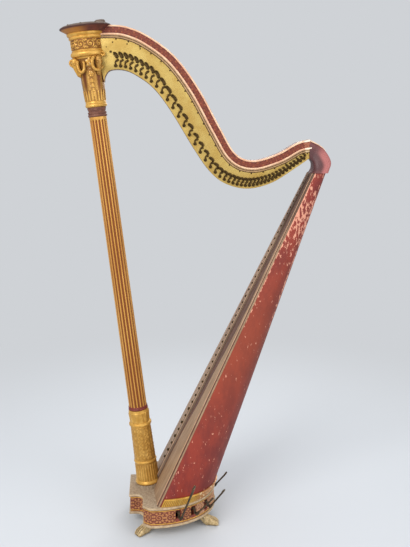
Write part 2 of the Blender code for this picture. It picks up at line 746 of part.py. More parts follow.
def make_neck(parts, cutters, finish, root, column):
    """Neck with its raised border, the two brass action plates and the shoulder block."""
    top = curve_through(NECK_TOP, EDGE_STEPS)
    low = curve_through(NECK_LOW, EDGE_STEPS)
    border = offset_line(top, NECK_BAND_W)
    neck = extrude_outline("neck", [tuple(p) for p in top + low[::-1]], -NECK_HALF_T, NECK_HALF_T,
                           parts, finish["dark_red"], root, upright=True)
    inner = border[:-3] + [Vector((NECK_TOP[-1][0], border[-1].y))]
    band = extrude_outline("neck_border", [tuple(p) for p in top + inner[::-1]],
                           -NECK_BAND_HALF_T, NECK_BAND_HALF_T, cutters, parent=root, upright=True)
    boolean(neck, band, "UNION")
    socket = turned("neck_socket", closed(capital_side(GAP * 1.5) + crown_side(GAP * 1.5)), cutters, parent=column)
    boolean(neck, socket)

    edge = offset_line(top, NECK_BAND_W + GAP)
    outline = [tuple(p) for p in edge[:-3] + [Vector((NECK_TOP[-1][0] - GAP, edge[-1].y))]
               + offset_line(low, -GAP)[::-1]]
    near = -NECK_HALF_T - GAP
    left = extrude_outline("action_plate_left", outline, near - ACTION_PLATE_T, near,
                           parts, finish["brass"], root, upright=True)
    right = extrude_outline("action_plate_right", outline, -near, -near + ACTION_PLATE_T,
                            parts, finish["brass"], root, upright=True)
    for plate in (left, right):
        boolean(plate, socket)
    studs = []
    drives = []
    arbors = []
    for k in range(STRINGS):
        place = pin_place(k)
        stand = Matrix.Translation((place.x, near - ACTION_PLATE_T / 2, place.y)) @ Matrix.Rotation(pi / 2, 4, "X")
        pin = cylinder("pin", PIN_R, 0, PIN_L, cutters, 6)
        pin.matrix_local = stand
        studs.append(pin)
        drive = cylinder("drive", PIN_SQUARE, 0, PIN_L, cutters, 4)
        drive.matrix_local = (Matrix.Translation((place.x, -near + ACTION_PLATE_T / 2, place.y))
                              @ Matrix.Rotation(-pi / 2, 4, "X"))
        drives.append(drive)
        place = fork_place(k)
        stand = Matrix.Translation((place.x, near, place.y)) @ Matrix.Rotation(pi / 2, 4, "X")
        if is_moving(k):
            hole_r = (ARBOR_R + GAP) / cos(pi / ARBOR_SIDES)
            arbor = cylinder("arbor_hole", hole_r, -0.008, 0.008, cutters, ARBOR_SIDES)
            arbor.matrix_local = stand
            arbors.append(arbor)
        else:
            disc = cylinder("disc", DISC_R, ACTION_PLATE_T * 0.4, ACTION_PLATE_T + DISC_T, cutters, 9)
            disc.matrix_local = stand
            studs.append(disc)
    boolean(left, joined("pins_and_discs", studs, cutters, root), "UNION")
    boolean(left, joined("arbor_holes", arbors, cutters, root))
    boolean(right, joined("pin_drives", drives, cutters, root), "UNION")

    inner = curve_through(SHOULDER_IN, 10)
    outer = curve_through(SHOULDER_OUT, 10)
    rings = []
    for k, (a, b) in enumerate(zip(inner, outer)):
        share = k / 10
        wide = SHELL_TOP_HALF_W + (NECK_BAND_HALF_T - SHELL_TOP_HALF_W) * min(1.0, share * 1.25)
        ring = []
        for j in range(16):
            turn = 2 * pi * (j + 0.5) / 16
            c, s = cos(turn), sin(turn)
            reach = 1 / max(abs(c) ** 5 + abs(s) ** 5, 1e-9) ** 0.2
            place = (a + b) / 2 + (b - a) / 2 * c * reach
            ring.append(Vector((place.x, wide * s * reach, place.y)))
        rings.append(ring)
    loft("shoulder", rings, parts, finish["dark_red"], root)


def make_forks(parts, finish, root):
    """Moving forks: a brass disc on an arbor, with two prongs that stop the string."""
    face = -NECK_HALF_T - GAP - ACTION_PLATE_T
    for k in range(FIRST_MOVING_FORK, FIRST_MOVING_FORK + MOVING_FORKS):
        place = fork_place(k)
        name = "fork_%02d" % (k + 1)
        base = cylinder(name, DISC_R, GAP, GAP + DISC_T, parts, 9, root, finish["brass"])
        base.matrix_local = Matrix.Translation((place.x, face, place.y)) @ Matrix.Rotation(pi / 2, 4, "X")
        yield base


def dress_fork(base, cutters):
    """Join a fork's arbor and prongs to its disc."""
    arbor = cylinder(base.name + "_arbor", ARBOR_R, -ARBOR_L, GAP + DISC_T / 2, cutters, ARBOR_SIDES, base)
    boolean(base, arbor, "UNION")
    for side in (-1, 1):
        prong = cylinder("%s_prong_%d" % (base.name, side + 2), PRONG_R, GAP + DISC_T / 2,
                         GAP + DISC_T + PRONG_L, cutters, 5, base)
        prong.location = (side * (DISC_R - PRONG_R * 1.6), 0, 0)
        boolean(base, prong, "UNION")


# Pedals

def bar(name, path, where, finish=None, parent=None):
    """A bar of rectangular section along a path; each stop gives its place and half width."""
    rings = []
    for k, (place, half) in enumerate(path):
        before = path[max(k - 1, 0)][0]
        after = path[min(k + 1, len(path) - 1)][0]
        along = (after - before).normalized()
        side = along.cross(Vector((0, 0, 1))).normalized()
        up = side.cross(along)
        rings.append([place - side * half - up * PEDAL_HALF_H, place + side * half - up * PEDAL_HALF_H,
                      place + side * half + up * PEDAL_HALF_H, place - side * half + up * PEDAL_HALF_H])
    return loft(name, rings, where, finish, parent)


def make_pedals(parts, cutters, finish, root, column):
    """Seven levers with folding feet, and the rods that they lift in the column."""
    for name, (angle, aim, fold, length) in PEDALS.items():
        turn = radians(angle)
        pivot = bpy.data.objects.new("pedal_%s_pivot" % name, None)
        parts.objects.link(pivot)
        pivot.parent = root
        pivot.location = (PEDAL_PIVOT_R * cos(turn), PEDAL_PIVOT_R * sin(turn), PEDAL_Z)
        pivot.rotation_euler = (0, 0, turn)
        wall = wall_reach(turn) - PEDAL_PIVOT_R
        inner = ROD_RING_R - PEDAL_PIVOT_R - ROD_R / 2
        hinge = Vector((wall + PEDAL_OUT, 0, -PEDAL_DROP))
        swerve = radians(aim - angle)
        last = Vector((cos(swerve), sin(swerve), 0))
        broad = inner + PEDAL_TIP_L + PEDAL_TAPER_L
        path = ((Vector((inner, 0, 0)), PEDAL_TIP_HALF_W), (Vector((inner + PEDAL_TIP_L, 0, 0)), PEDAL_TIP_HALF_W),
                (Vector((broad, 0, 0)), PEDAL_HALF_W), (Vector((wall + PEDAL_BEND_OUT, 0, 0)), PEDAL_HALF_W),
                (hinge - last * PEDAL_END_L, PEDAL_HALF_W), (hinge, PEDAL_HALF_W))
        lever = bar("pedal_%s_lever" % name, path, parts, finish["dark_iron"], pivot)
        trunnion = cylinder("pedal_%s_trunnion" % name, TRUNNION_R, -PEDAL_HALF_W - GAP - CHEEK_T,
                            PEDAL_HALF_W + GAP + CHEEK_T, cutters, 8, pivot)
        trunnion.rotation_euler = (pi / 2, 0, 0)
        boolean(lever, trunnion, "UNION")

        joint = bpy.data.objects.new("pedal_%s_foot_pivot" % name, None)
        parts.objects.link(joint)
        joint.parent = pivot
        joint.location = hinge
        joint.rotation_euler = (0, 0, swerve)
        eye = cylinder("pedal_%s_eye" % name, EYE_R, -EYE_HALF_W, EYE_HALF_W, cutters, 10, joint)
        eye.rotation_euler = (pi / 2, 0, 0)
        boolean(lever, eye, "UNION")
        rivet_hole = cylinder("pedal_%s_rivet_hole" % name, RIVET_R + GAP, -0.01, 0.01, cutters, 8, joint)
        rivet_hole.rotation_euler = (pi / 2, 0, 0)
        boolean(lever, rivet_hole)
        make_pedal_foot(name, fold, length, joint, parts, cutters, finish)

        along = ROD_RING_R * cos(turn)
        top = PEDAL_Z + PEDAL_HALF_H + GAP - COLUMN_FOOT_Z
        x = (along + tan(COLUMN_LEAN) * top) * cos(COLUMN_LEAN)
        low = (top + (ROD_R - x) * sin(COLUMN_LEAN)) / cos(COLUMN_LEAN)
        rod = cylinder("pedal_%s_rod" % name, ROD_R, low, ROD_TOP, parts, 6, column, finish["dark_iron"])
        rod.location = (x, ROD_RING_R * sin(turn), 0)


def make_pedal_foot(name, fold, length, joint, parts, cutters, finish):
    """A folding foot: two ears on a rivet, a flat tread and a raised toe."""
    clear = EYE_HALF_W + GAP
    start = EYE_R + 0.0012
    foot = box("pedal_%s_foot" % name, (start, -FOOT_HALF_W, -FOOT_T / 2), (length, FOOT_HALF_W, FOOT_T / 2),
               parts, finish["dark_iron"], joint)
    foot.rotation_euler = (0, -radians(fold), 0)
    toe = box("pedal_%s_toe" % name, (length - TOE_L, -FOOT_HALF_W - 0.0015, -FOOT_T / 2 - 0.001),
              (length + 0.002, FOOT_HALF_W + 0.0015, FOOT_T / 2 + 0.0015), cutters, parent=foot)
    boolean(foot, toe, "UNION")
    for side in (-1, 1):
        ends = sorted((side * clear, side * (clear + FORK_CHEEK_T)))
        ear = box("pedal_%s_ear_%d" % (name, side + 2), (-EYE_R * 0.7, ends[0], -FOOT_T / 2 + 0.0003),
                  (start + 0.004, ends[1], FOOT_T / 2 - 0.0003), cutters, parent=foot)
        boolean(foot, ear, "UNION")
    rivet = cylinder("pedal_%s_rivet" % name, RIVET_R, -clear - FORK_CHEEK_T / 2, clear + FORK_CHEEK_T / 2,
                     cutters, 8, foot)
    rivet.rotation_euler = (pi / 2, 0, 0)
    boolean(foot, rivet, "UNION")


def main():
    """Build every piece of the harp."""
    clear_scene()
    parts = collection("pedal_harp")
    cutters = collection("cutters")
    finish = make_materials()
    root = bpy.data.objects.new("harp_root", None)
    root.location = (COLUMN_X, 0, 0)
    parts.objects.link(root)
    column = bpy.data.objects.new("column_axis", None)
    column.parent = root
    column.location = (0, 0, COLUMN_FOOT_Z)
    column.rotation_euler = (0, -COLUMN_LEAN, 0)
    parts.objects.link(column)

    make_base(parts, cutters, finish, root, column)
    make_paws(parts, finish, root)
    bore = make_column(parts, cutters, finish, column)
    make_capital(parts, cutters, finish, column, bore)
    make_soundbox(parts, cutters, finish, root, column)
    make_neck(parts, cutters, finish, root, column)
    for fork in make_forks(parts, finish, root):
        dress_fork(fork, cutters)
    make_pedals(parts, cutters, finish, root, column)


main()
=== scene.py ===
"""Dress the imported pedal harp: gilt carved column and capital, painted neck and soundbox, brass
action with dark iron fittings, and a worn red base on four lion's paws.

Metres, +Z up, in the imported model's frame. Sizes in the side view are measured from the column's
foot, as in the harp's solids; Layout turns them to the frame's X. Sizes along the column are
measured on its leaning axis, from the middle of its foot ring.
"""

import json
import logging
from dataclasses import dataclass, field
from enum import Enum
from math import atan2, cos, degrees, pi, radians, sin, tan
from typing import Any, Callable, Sequence

import bmesh
import bpy
import numpy as np
from mathutils import Matrix, Vector

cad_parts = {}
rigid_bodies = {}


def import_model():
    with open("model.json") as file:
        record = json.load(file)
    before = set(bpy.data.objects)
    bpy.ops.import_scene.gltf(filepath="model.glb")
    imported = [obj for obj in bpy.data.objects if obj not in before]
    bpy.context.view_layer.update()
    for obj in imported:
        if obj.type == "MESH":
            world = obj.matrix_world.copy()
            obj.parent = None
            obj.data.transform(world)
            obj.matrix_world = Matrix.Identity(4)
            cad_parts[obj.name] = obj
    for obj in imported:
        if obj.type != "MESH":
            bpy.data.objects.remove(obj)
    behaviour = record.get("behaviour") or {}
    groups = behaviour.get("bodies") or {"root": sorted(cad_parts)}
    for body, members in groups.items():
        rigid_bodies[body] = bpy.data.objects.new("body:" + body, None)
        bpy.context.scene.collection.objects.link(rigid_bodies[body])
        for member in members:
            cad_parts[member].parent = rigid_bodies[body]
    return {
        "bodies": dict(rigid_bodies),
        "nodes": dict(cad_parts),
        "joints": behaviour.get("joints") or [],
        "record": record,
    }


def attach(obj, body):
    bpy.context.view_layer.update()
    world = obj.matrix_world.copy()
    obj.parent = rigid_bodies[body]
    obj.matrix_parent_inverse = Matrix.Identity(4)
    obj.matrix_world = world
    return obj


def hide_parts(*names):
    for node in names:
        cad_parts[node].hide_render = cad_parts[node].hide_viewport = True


Array = np.ndarray
Relief = Callable[[Array, Array], Array]
Profile = tuple[tuple[float, float], ...]
LOG = logging.getLogger("harp")
SINK = 0.0004                    # how far a laid-on piece goes into what carries it
X_AXIS, Y_AXIS, Z_AXIS = np.eye(3)


# Arithmetic on arrays

def smooth(low: float, high: float, value: Array) -> Array:
    """0 below low, 1 above high, and 3t^2 - 2t^3 between them."""
    t = np.clip((value - low) / (high - low), 0.0, 1.0)
    return t * t * (3 - 2 * t)


def bell(value: Array, width: float) -> Array:
    """exp(-(value / width)^2): 1 in the middle, and gone two widths away."""
    return np.exp(-(value / width) ** 2)


def unit(vectors: Array) -> Array:
    """The same vectors at length 1."""
    return vectors / np.maximum(np.linalg.norm(vectors, axis=-1, keepdims=True), 1e-12)


def coords(*axes: Array | float) -> Array:
    """Coordinates broadcast together and set side by side on a last axis."""
    return np.stack(np.broadcast_arrays(*axes), axis=-1)


def turns(steps: int) -> Array:
    """Angles evenly spaced round a full turn."""
    return np.arange(steps) * 2 * pi / steps


def polar(radius: Array | float, turn: Array, height: Array | float) -> Array:
    """Points at a radius, an angle and a height about Z."""
    return coords(radius * np.cos(turn), radius * np.sin(turn), height)


def blend(low: float, high: float, share: Array) -> Array:
    """low where share is 0, high where it is 1, and straight between them."""
    return low + (high - low) * share


def off_whole(value: Array) -> Array:
    """How far a value is from the nearest whole number, from -0.5 to 0.5."""
    return (value + 0.5) % 1.0 - 0.5


def dome(value: Array) -> Array:
    """sqrt(1 - value^2): a half circle's height, and 0 outside it."""
    return np.sqrt(np.clip(1 - value ** 2, 0, 1))


def run_length(points: Array) -> Array:
    """Distance along a polyline at each of its points."""
    steps = np.linalg.norm(np.diff(points, axis=0), axis=1)
    return np.concatenate([[0.0], np.cumsum(steps)])


def resampled(points: Array, count: int) -> Array:
    """The same polyline with count points, evenly spaced along it."""
    run = run_length(points)
    goals = np.linspace(0, run[-1], count)
    return np.stack([np.interp(goals, run, points[:, k]) for k in range(points.shape[1])], axis=1)


def densified(points: Sequence[tuple[float, float]], step: float) -> Array:
    """A profile with extra points on its straight runs, so that none is longer than step."""
    knots = np.array(points, float)
    rows = [knots[:1]]
    for a, b in zip(knots, knots[1:]):
        parts = max(int(np.ceil(np.linalg.norm(b - a) / step)), 1)
        rows.append(a + (b - a) * np.linspace(0, 1, parts + 1)[1:, None])
    return np.concatenate(rows)


def curve_through(knots: Sequence[tuple[float, float]], count: int) -> Array:
    """Evenly spaced points on the Catmull-Rom curve through some knots.

    Between knots b and c the curve is 0.5(2b + (c-a)t + (2a-5b+4c-d)t^2 + (3b-a-3c+d)t^3).
    """
    p = np.array(knots, float)
    p = np.concatenate([[2 * p[0] - p[1]], p, [2 * p[-1] - p[-2]]])
    t = np.linspace(0, 1, 24, endpoint=False)[None, :, None]
    a, b, c, d = (p[k:len(p) - 3 + k, None, :] for k in range(4))
    fine = 0.5 * (2 * b + (c - a) * t + (2 * a - 5 * b + 4 * c - d) * t ** 2
                  + (3 * b - a - 3 * c + d) * t ** 3)
    return resampled(np.concatenate([fine.reshape(-1, p.shape[1]), p[-2:-1]]), count)


def normals(line: Array) -> Array:
    """Unit vectors to the right of a plane line's direction."""
    along = unit(np.gradient(line, axis=0))
    return coords(along[:, 1], -along[:, 0])


def moved_sideways(line: Array, distance: float) -> Array:
    """A plane line moved to the right of its direction."""
    return line + normals(line) * distance


def swept(path: Array, section: Array, up: Array, scale: Array | float = 1.0) -> Array:
    """Carry a section along a path.

    Args:
        path: n points.
        section: m points as (sideways, upwards) in the path's frame, or n x m of them.
        up: a direction, or n of them, that the section's upwards leans to.
        scale: the section's size at each point.
    Returns:
        n x m points: path + side * u + upwards * v, with side = along x up.
    """
    along = unit(np.gradient(path, axis=0))
    side = unit(np.cross(along, np.broadcast_to(up, path.shape)))
    rise = np.cross(side, along)
    size = np.broadcast_to(np.asarray(scale, float), (len(path),))[:, None, None]
    shape = np.broadcast_to(section, (len(path),) + np.shape(section)[-2:]) * size
    return path[:, None] + side[:, None] * shape[..., :1] + rise[:, None] * shape[..., 1:]


def squared(turn: Array, power: float) -> tuple[Array, Array]:
    """Cosine and sine on the oval |c|^p + |s|^p = 1, squarer than a circle where p is over 2."""
    c, s = np.cos(turn), np.sin(turn)
    reach = (np.abs(c) ** power + np.abs(s) ** power) ** (-1 / power)
    return c * reach, s * reach


def round_section(width: float, height: float, count: int, power: float = 2.0) -> Array:
    """A closed oval, |u/a|^p + |v/b|^p = 1, as (sideways, upwards)."""
    c, s = squared(turns(count), power)
    return coords(width / 2 * c, height / 2 * s)


def placed(points: Array, matrix: Matrix) -> Array:
    """Points through a 4 x 4 matrix."""
    m = np.array(matrix)
    return points @ m[:3, :3].T + m[:3, 3]


# Meshes

def grid_quads(rows: int, columns: int, along: bool = False) -> Array:
    """Corner indices of a grid's quads, rows x columns x 4, where the last column meets the first.

    Args:
        rows: the grid's rows.
        columns: its columns.
        along: the last row meets the first too.
    Returns:
        Indices that count along the rows.
    """
    index = np.arange(rows * columns).reshape(rows, columns)
    ahead = np.roll(index, -1, axis=0)
    quads = np.stack([index, np.roll(index, -1, axis=1), np.roll(ahead, -1, axis=1), ahead], axis=-1)
    return quads if along else quads[:-1]


class Casting:
    """Closed surfaces collected into one mesh, with per point the darkness of carved hollows and of painted
    shade, wear, and the gilt colour, also used as a painted highlight.
    """

    FACTS = ("hollow", "wear", "gilding")

    def __init__(self) -> None:
        """Start with nothing."""
        self.points: list[Array] = []
        self.faces: list[list[int]] = []
        self.slots: list[int] = []
        self.facts: dict[str, list[Array]] = {fact: [] for fact in self.FACTS}
        self.count = 0

    def add(self, points: Array, faces: Sequence[Sequence[int]], slots: int | Sequence[int] = 0,
            **facts: Array | float) -> "Casting":
        """Add loose points and faces.

        Args:
            points: any number of rows of x, y and z.
            faces: indices that count from this piece's own points.
            slots: the material's slot, or one for each face.
            facts: hollow, wear or gilding, one number or one for each point.
        Returns:
            This casting.
        """
        for fact in self.FACTS:
            given = np.asarray(facts.get(fact, 0.0), float)
            self.facts[fact].append(np.broadcast_to(given, points.shape[:-1]).reshape(-1))
        self.faces.extend([i + self.count for i in face] for face in faces)
        self.slots.extend(np.broadcast_to(slots, len(faces)).tolist())
        self.points.append(points.reshape(-1, 3))
        self.count += len(self.points[-1])
        return self

    def grid(self, points: Array, around: bool = True, along: bool = False, caps: bool = True,
             slot: int | Array = 0, **facts: Array | float) -> "Casting":
        """Add a surface on a grid of rows x columns.

        Args:
            points: rows x columns x 3.
            around: join the last column to the first.
            along: join the last row to the first.
            caps: close the first and last rows with a face each, where rows aren't joined.
            slot: the material's slot, or one for each column's faces.
            facts: hollow, wear or gilding, one number or rows x columns.
        Returns:
            This casting.
        """
        rows, columns = points.shape[:2]
        quads = grid_quads(rows, columns, along)[:, :columns if around else -1]
        faces = quads.reshape(-1, 4).tolist()
        slots = np.broadcast_to(slot, quads.shape[:2]).reshape(-1).tolist()
        if caps and not along:
            last = (rows - 1) * columns
            faces += [list(range(columns))[::-1], list(range(last, last + columns))]
            slots += slots[:1] * 2
        return self.add(points, faces, slots, **facts)

    def copies(self, shape: Array, places: Array) -> "Casting":
        """Add the same small closed grid at each of many 4 x 4 places."""
        for place in places:
            self.grid(placed(shape, place))
        return self

    def walled(self, outer: Array, inner: Array, windows: Array, **facts: Array | float) -> "Casting":
        """Add a wall between two equal grids, with the marked quads left open right through it.

        Args:
            outer: rows x columns x 3.
            inner: the same, inside.
            windows: marks of the open quads, one row and one column less.
            facts: hollow, wear or gilding, as in grid.
        Returns:
            This casting.
        """
        rows, columns = outer.shape[:2]
        quads = grid_quads(rows, columns)[:, :-1]
        back = rows * columns
        solid = ~windows
        edge = np.pad(solid, 1, constant_values=False)
        faces = [quads[solid], quads[solid][:, ::-1] + back]
        near, mid, far = slice(0, -2), slice(1, -1), slice(2, None)
        for beside, p, q in (((near, mid), 0, 1), ((far, mid), 2, 3), ((mid, near), 3, 0),
                             ((mid, far), 1, 2)):
            jamb = quads[solid & ~edge[beside]]
            faces.append(np.stack([jamb[:, q], jamb[:, p], jamb[:, p] + back, jamb[:, q] + back], axis=1))
        corners = np.concatenate(faces)
        used, index = np.unique(corners, return_inverse=True)
        both = {fact: np.tile(np.broadcast_to(value, outer.shape[:2]).reshape(-1), 2)[used]
                for fact, value in facts.items()}
        points = np.concatenate([outer.reshape(-1, 3), inner.reshape(-1, 3)])[used]
        return self.add(points, index.reshape(corners.shape).tolist(), **both)

    def mesh(self, name: str, materials: Sequence[bpy.types.Material], sharp: float) -> bpy.types.Object:
        """The collected surfaces as one object at the origin, with faces turned outwards.

        Args:
            name: the object's name.
            materials: one for each slot number.
            sharp: edges over this angle, in degrees, stay sharp.
        Returns:
            The object.
        """
        data = bpy.data.meshes.new(name)
        data.from_pydata(np.concatenate(self.points).tolist(), [], self.faces)
        for one in materials:
            data.materials.append(one)
        data.polygons.foreach_set("material_index", self.slots)
        for fact, values in self.facts.items():
            data.attributes.new(fact, "FLOAT", "POINT").data.foreach_set("value", np.concatenate(values))
        work = bmesh.new()
        work.from_mesh(data)
        bmesh.ops.recalc_face_normals(work, faces=work.faces)
        work.to_mesh(data)
        work.free()
        data.shade_smooth()
        data.set_sharp_from_angle(angle=radians(sharp))
        made = bpy.data.objects.new(name, data)
        bpy.context.scene.collection.objects.link(made)
        return made


def stud(profile: Sequence[tuple[float, float]], sides: int) -> Array:
    """A small turned shape from (height, radius) about Z, as a closed grid."""
    knots = np.array(profile, float)
    return polar(knots[:, 1:], turns(sides), knots[:, :1])


def facing(places: Array, away: Array, aim: Array, sizes: Array | float = 1.0) -> Array:
    """4 x 4 places on a surface.

    Args:
        places: points.
        away: where their Z points, away from the surface.
        aim: where their X leans to.
        sizes: how large a thing set there becomes.
    Returns:
        One matrix for each point.
    """
    z = unit(np.broadcast_to(away, places.shape).astype(float))
    y = unit(np.cross(z, np.broadcast_to(aim, places.shape)))
    made = np.tile(np.eye(4), (len(places), 1, 1))
    made[:, :3, :3] = np.stack([np.cross(y, z), y, z], axis=-1) * np.reshape(sizes, (-1, 1, 1))
    made[:, :3, 3] = places
    return made


# Finishes

def srgb(code: str) -> tuple[float, float, float, float]:
    """An sRGB hex code as linear colour with alpha 1."""
    value = np.array([int(code[k:k + 2], 16) for k in (1, 3, 5)]) / 255
    linear = np.where(value <= 0.04045, value / 12.92, ((value + 0.055) / 1.055) ** 2.4)
    return (*linear.tolist(), 1.0)


class Graph:
    """A material's or the world's nodes, and the few kinds of node that they need."""

    def __init__(self, owner: bpy.types.Material | bpy.types.World) -> None:
        """Give the owner its nodes."""
        owner.use_nodes = True
        self.tree = owner.node_tree

    def feed(self, node: bpy.types.Node | str, inputs: dict[str | int, Any]) -> None:
        """Give a node, or the one of this name, a value or a link for each of these inputs."""
        node = self.tree.nodes[node] if isinstance(node, str) else node
        for key, value in inputs.items():
            if isinstance(value, bpy.types.NodeSocket):
                self.tree.links.new(value, node.inputs[key])
            else:
                node.inputs[key].default_value = value

    def add(self, kind: str, inputs: dict[str | int, Any] | None = None, **settings: Any) -> Any:
        """Add a shader node.

        Args:
            kind: its type, without the leading ShaderNode.
            inputs: a value or a socket for each input, by its name or number.
            settings: the node's own properties.
        Returns:
            The node's outputs.
        """
        made = self.tree.nodes.new("ShaderNode" + kind)
        for key, value in settings.items():
            setattr(made, key, value)
        self.feed(made, inputs or {})
        return made.outputs

    def noise(self, place: Any, size_mm: float, detail: float, roughness: float) -> Any:
        """Noise whose largest patches are about size_mm across."""
        return self.add("TexNoise", {"Vector": place, "Scale": 1000 / size_mm, "Detail": detail,
                                     "Roughness": roughness})[0]

    def ramp(self, value: Any, low: float, high: float) -> Any:
        """0 below low, 1 above high, and smooth between them."""
        return self.add("MapRange", {"Value": value, "From Min": low, "From Max": high},
                        interpolation_type="SMOOTHSTEP")[0]

    def span(self, share: Any, low: float, high: float) -> Any:
        """low where share is 0, and high where it is 1."""
        return self.add("MapRange", {"Value": share, "To Min": low, "To Max": high})[0]

    def mix(self, share: Any, first: Any, second: Any) -> Any:
        """The first colour where share is 0, and the second where it is 1."""
        return self.add("Mix", {0: share, 6: first, 7: second}, data_type="RGBA")[2]

    def sum(self, operation: str, *values: Any) -> Any:
        """A Math node's result."""
        return self.add("Math", dict(enumerate(values)), operation=operation)[0]


class Slot(Enum):
    """The record's material slots."""

    GILT = "gilt"
    FLUTED_GILT = "fluted_gilt"
    RED_PAINT = "red_paint"
    DARK_RED = "dark_red"
    BASE_RED = "base_red"
    WORN_BOARD = "worn_board"
    SPRUCE = "spruce"
    CROWN_WOOD = "crown_wood"
    BRASS = "brass"
    DARK_IRON = "dark_iron"
    PAW_GILT = "paw_gilt"


@dataclass(frozen=True)
class Finish:
    """An aged finish: two tones in patches, chips worn to a third, carving darkened in its hollows partly by
    dirt and bole and partly as painted shade; the same dark colour also paints shade on shaded sides, and the
    gilt colour can serve as a painted highlight.

    Sizes are in millimetres. Stretch squeezes the pattern along X, Y and Z, as grain and brushing do.
    """

    name: str
    slot: Slot
    body: str
    shade: str
    worn: str
    roughness: float
    metallic: float = 0.0
    wear: float = 0.15
    patch_mm: float = 30.0
    chip_mm: float = 5.0
    bump_mm: float = 0.12
    worn_roughness: float = 0.7
    hollow: str = "#4A2412"
    # colour of carved hollows, partly dirt and bole and partly painted shade, and of painted shade elsewhere
    gilding: str = "#D9A24A"
    # gilt colour, also used on the shoulder as a painted highlight
    stretch: tuple[float, float, float] = (1.0, 1.0, 1.0)

    def build(self) -> bpy.types.Material:
        """Make the material: patches, gilding, hollows and chips in this order, and bump from the chips."""
        made = bpy.data.materials.new(self.name)
        graph = Graph(made)
        place = graph.add("Mapping", {"Vector": graph.add("TexCoord")["Object"], "Scale": self.stretch})[0]
        share = graph.ramp(graph.noise(place, self.patch_mm, 8.0, 0.68), 0.36, 0.64)
        gilding, hollow, wear = (graph.add("Attribute", attribute_name=fact)["Fac"]
                                 for fact in ("gilding", "hollow", "wear"))
        grit = graph.noise(place, self.chip_mm, 6.0, 0.62)
        level = 0.74 - 0.34 * self.wear
        chips = graph.ramp(graph.sum("MULTIPLY_ADD", wear, 0.30, grit), level, level + 0.03)
        tone = srgb(self.body)
        for amount, colour in ((share, self.shade), (gilding, self.gilding), (hollow, self.hollow),
                               (chips, self.worn)):
            tone = graph.mix(amount, tone, srgb(colour))
        rough = graph.span(chips, self.roughness, self.worn_roughness)
        height = graph.sum("MULTIPLY_ADD", chips, -1.2, grit)
        shader = {"Base Color": tone, "Roughness": graph.sum("MULTIPLY_ADD", share, 0.08, rough),
                  "Normal": graph.add("Bump", {"Height": height, "Distance": self.bump_mm / 1000,
                                               "Strength": 0.8})[0]}
        if self.metallic:
            shader["Metallic"] = graph.span(chips, self.metallic, 0.0)
        graph.feed("Principled BSDF", shader)
        return made


# Water gilding over red bole on carved gesso: warm metal that goes red-brown in the hollows, partly from bole
# and partly as painted shade
CARVED_GILT = Finish("carved_water_gilding", Slot.GILT, "#DDAC55", "#C2903C", "#D8BF92", 0.42, metallic=0.5,
                     wear=0.12, patch_mm=22, chip_mm=6, hollow="#6E3C18")
# The shaft's gilding, toned to orange, with red-brown grooves: partly red bole showing, partly painted shade
SHAFT_GILT = Finish("shaft_toned_gilding", Slot.FLUTED_GILT, "#D6A04E", "#C48C3E", "#E8C68E", 0.44,
                    metallic=0.4, wear=0.08, patch_mm=60, chip_mm=9, hollow="#84461F",
                    stretch=(1.0, 1.0, 0.25))
# Bole-red paint over turned wood, rubbed on the rings
COLLAR_RED = Finish("rubbed_bole_rings", Slot.DARK_RED, "#774A36", "#5F3629", "#A98A66", 0.55, wear=0.2,
                    patch_mm=14, chip_mm=5)
FOOT_RING_RED = Finish("rubbed_red_ring", Slot.DARK_RED, "#7A2A1E", "#642018", "#A4604A", 0.5, wear=0.12,
                       patch_mm=14, chip_mm=5)
# Burnished gilding on plain mouldings
PLAIN_GILT = Finish("burnished_gilding", Slot.GILT, "#E3B558", "#CF9A3E", "#EEDDB4", 0.34, metallic=0.55,
                    wear=0.12, patch_mm=26, chip_mm=8, gilding="#C8875A")
# Old limewood with its gilding gone
BARE_WOOD = Finish("weathered_limewood", Slot.CROWN_WOOD, "#7C6A5C", "#5E5048", "#96908A", 0.75, wear=0.25,
                   patch_mm=18, chip_mm=9, bump_mm=0.3)
# Rim's paint, brown-red, worn to grey wood
RIM_RED = Finish("crown_rim_paint", Slot.DARK_RED, "#6A3226", "#512620", "#A0713A", 0.55, wear=0.10,
                 patch_mm=20, chip_mm=9, hollow="#3A1D14", gilding="#A86C24")
# Lacquered sheet brass, pale and dull with age
PLATE_BRASS = Finish("aged_sheet_brass", Slot.BRASS, "#D0B266", "#BC9A50", "#DCC78C", 0.42, metallic=0.7,
                     wear=0.08, patch_mm=60, chip_mm=12, bump_mm=0.03, worn_roughness=0.5)
# Forged steel and bronze fittings, browned
BROWNED_IRON = Finish("browned_steel", Slot.DARK_IRON, "#54401C", "#3E2B12", "#8C7434", 0.42, metallic=0.75,
                      wear=0.14, patch_mm=6, chip_mm=3, bump_mm=0.06, worn_roughness=0.4)
# Wrought pedal iron, dark, with brass showing where feet rub
PEDAL_IRON = Finish("wrought_pedal_iron", Slot.DARK_IRON, "#5E4C36", "#41362A", "#A79468", 0.45,
                    metallic=0.55, wear=0.12, patch_mm=16, chip_mm=6, worn_roughness=0.4)
# Red oil paint with gilt flowers, varnished
BAND_RED = Finish("flowered_red_band", Slot.DARK_RED, "#701F10", "#54160B", "#9A5C42", 0.55, wear=0.05,
                  patch_mm=12, chip_mm=4, hollow="#4A160E", gilding="#B06634")
# Cream gesso beads, rubbed pink
CREAM_BEAD = Finish("rubbed_cream_bead", Slot.DARK_RED, "#EBC6A2", "#D8A482", "#F4E2CC", 0.5, wear=0.14,
                    patch_mm=30, chip_mm=6)
# Painted lines between the bead and the brass
LINE_BROWN = Finish("painted_brown_line", Slot.DARK_RED, "#573620", "#3F2415", "#8A6A48", 0.5, wear=0.08,
                    patch_mm=10, chip_mm=3)
LINE_TAN = Finish("painted_tan_line", Slot.DARK_RED, "#B28E62", "#967349", "#D8BC90", 0.5, wear=0.1,
                  patch_mm=10, chip_mm=3)
# The neck's own wood under old red-brown paint
NECK_WOOD = Finish("neck_red_brown_paint", Slot.DARK_RED, "#6A3026", "#4E231C", "#9C7656", 0.5, wear=0.14,
                   patch_mm=24, chip_mm=6)
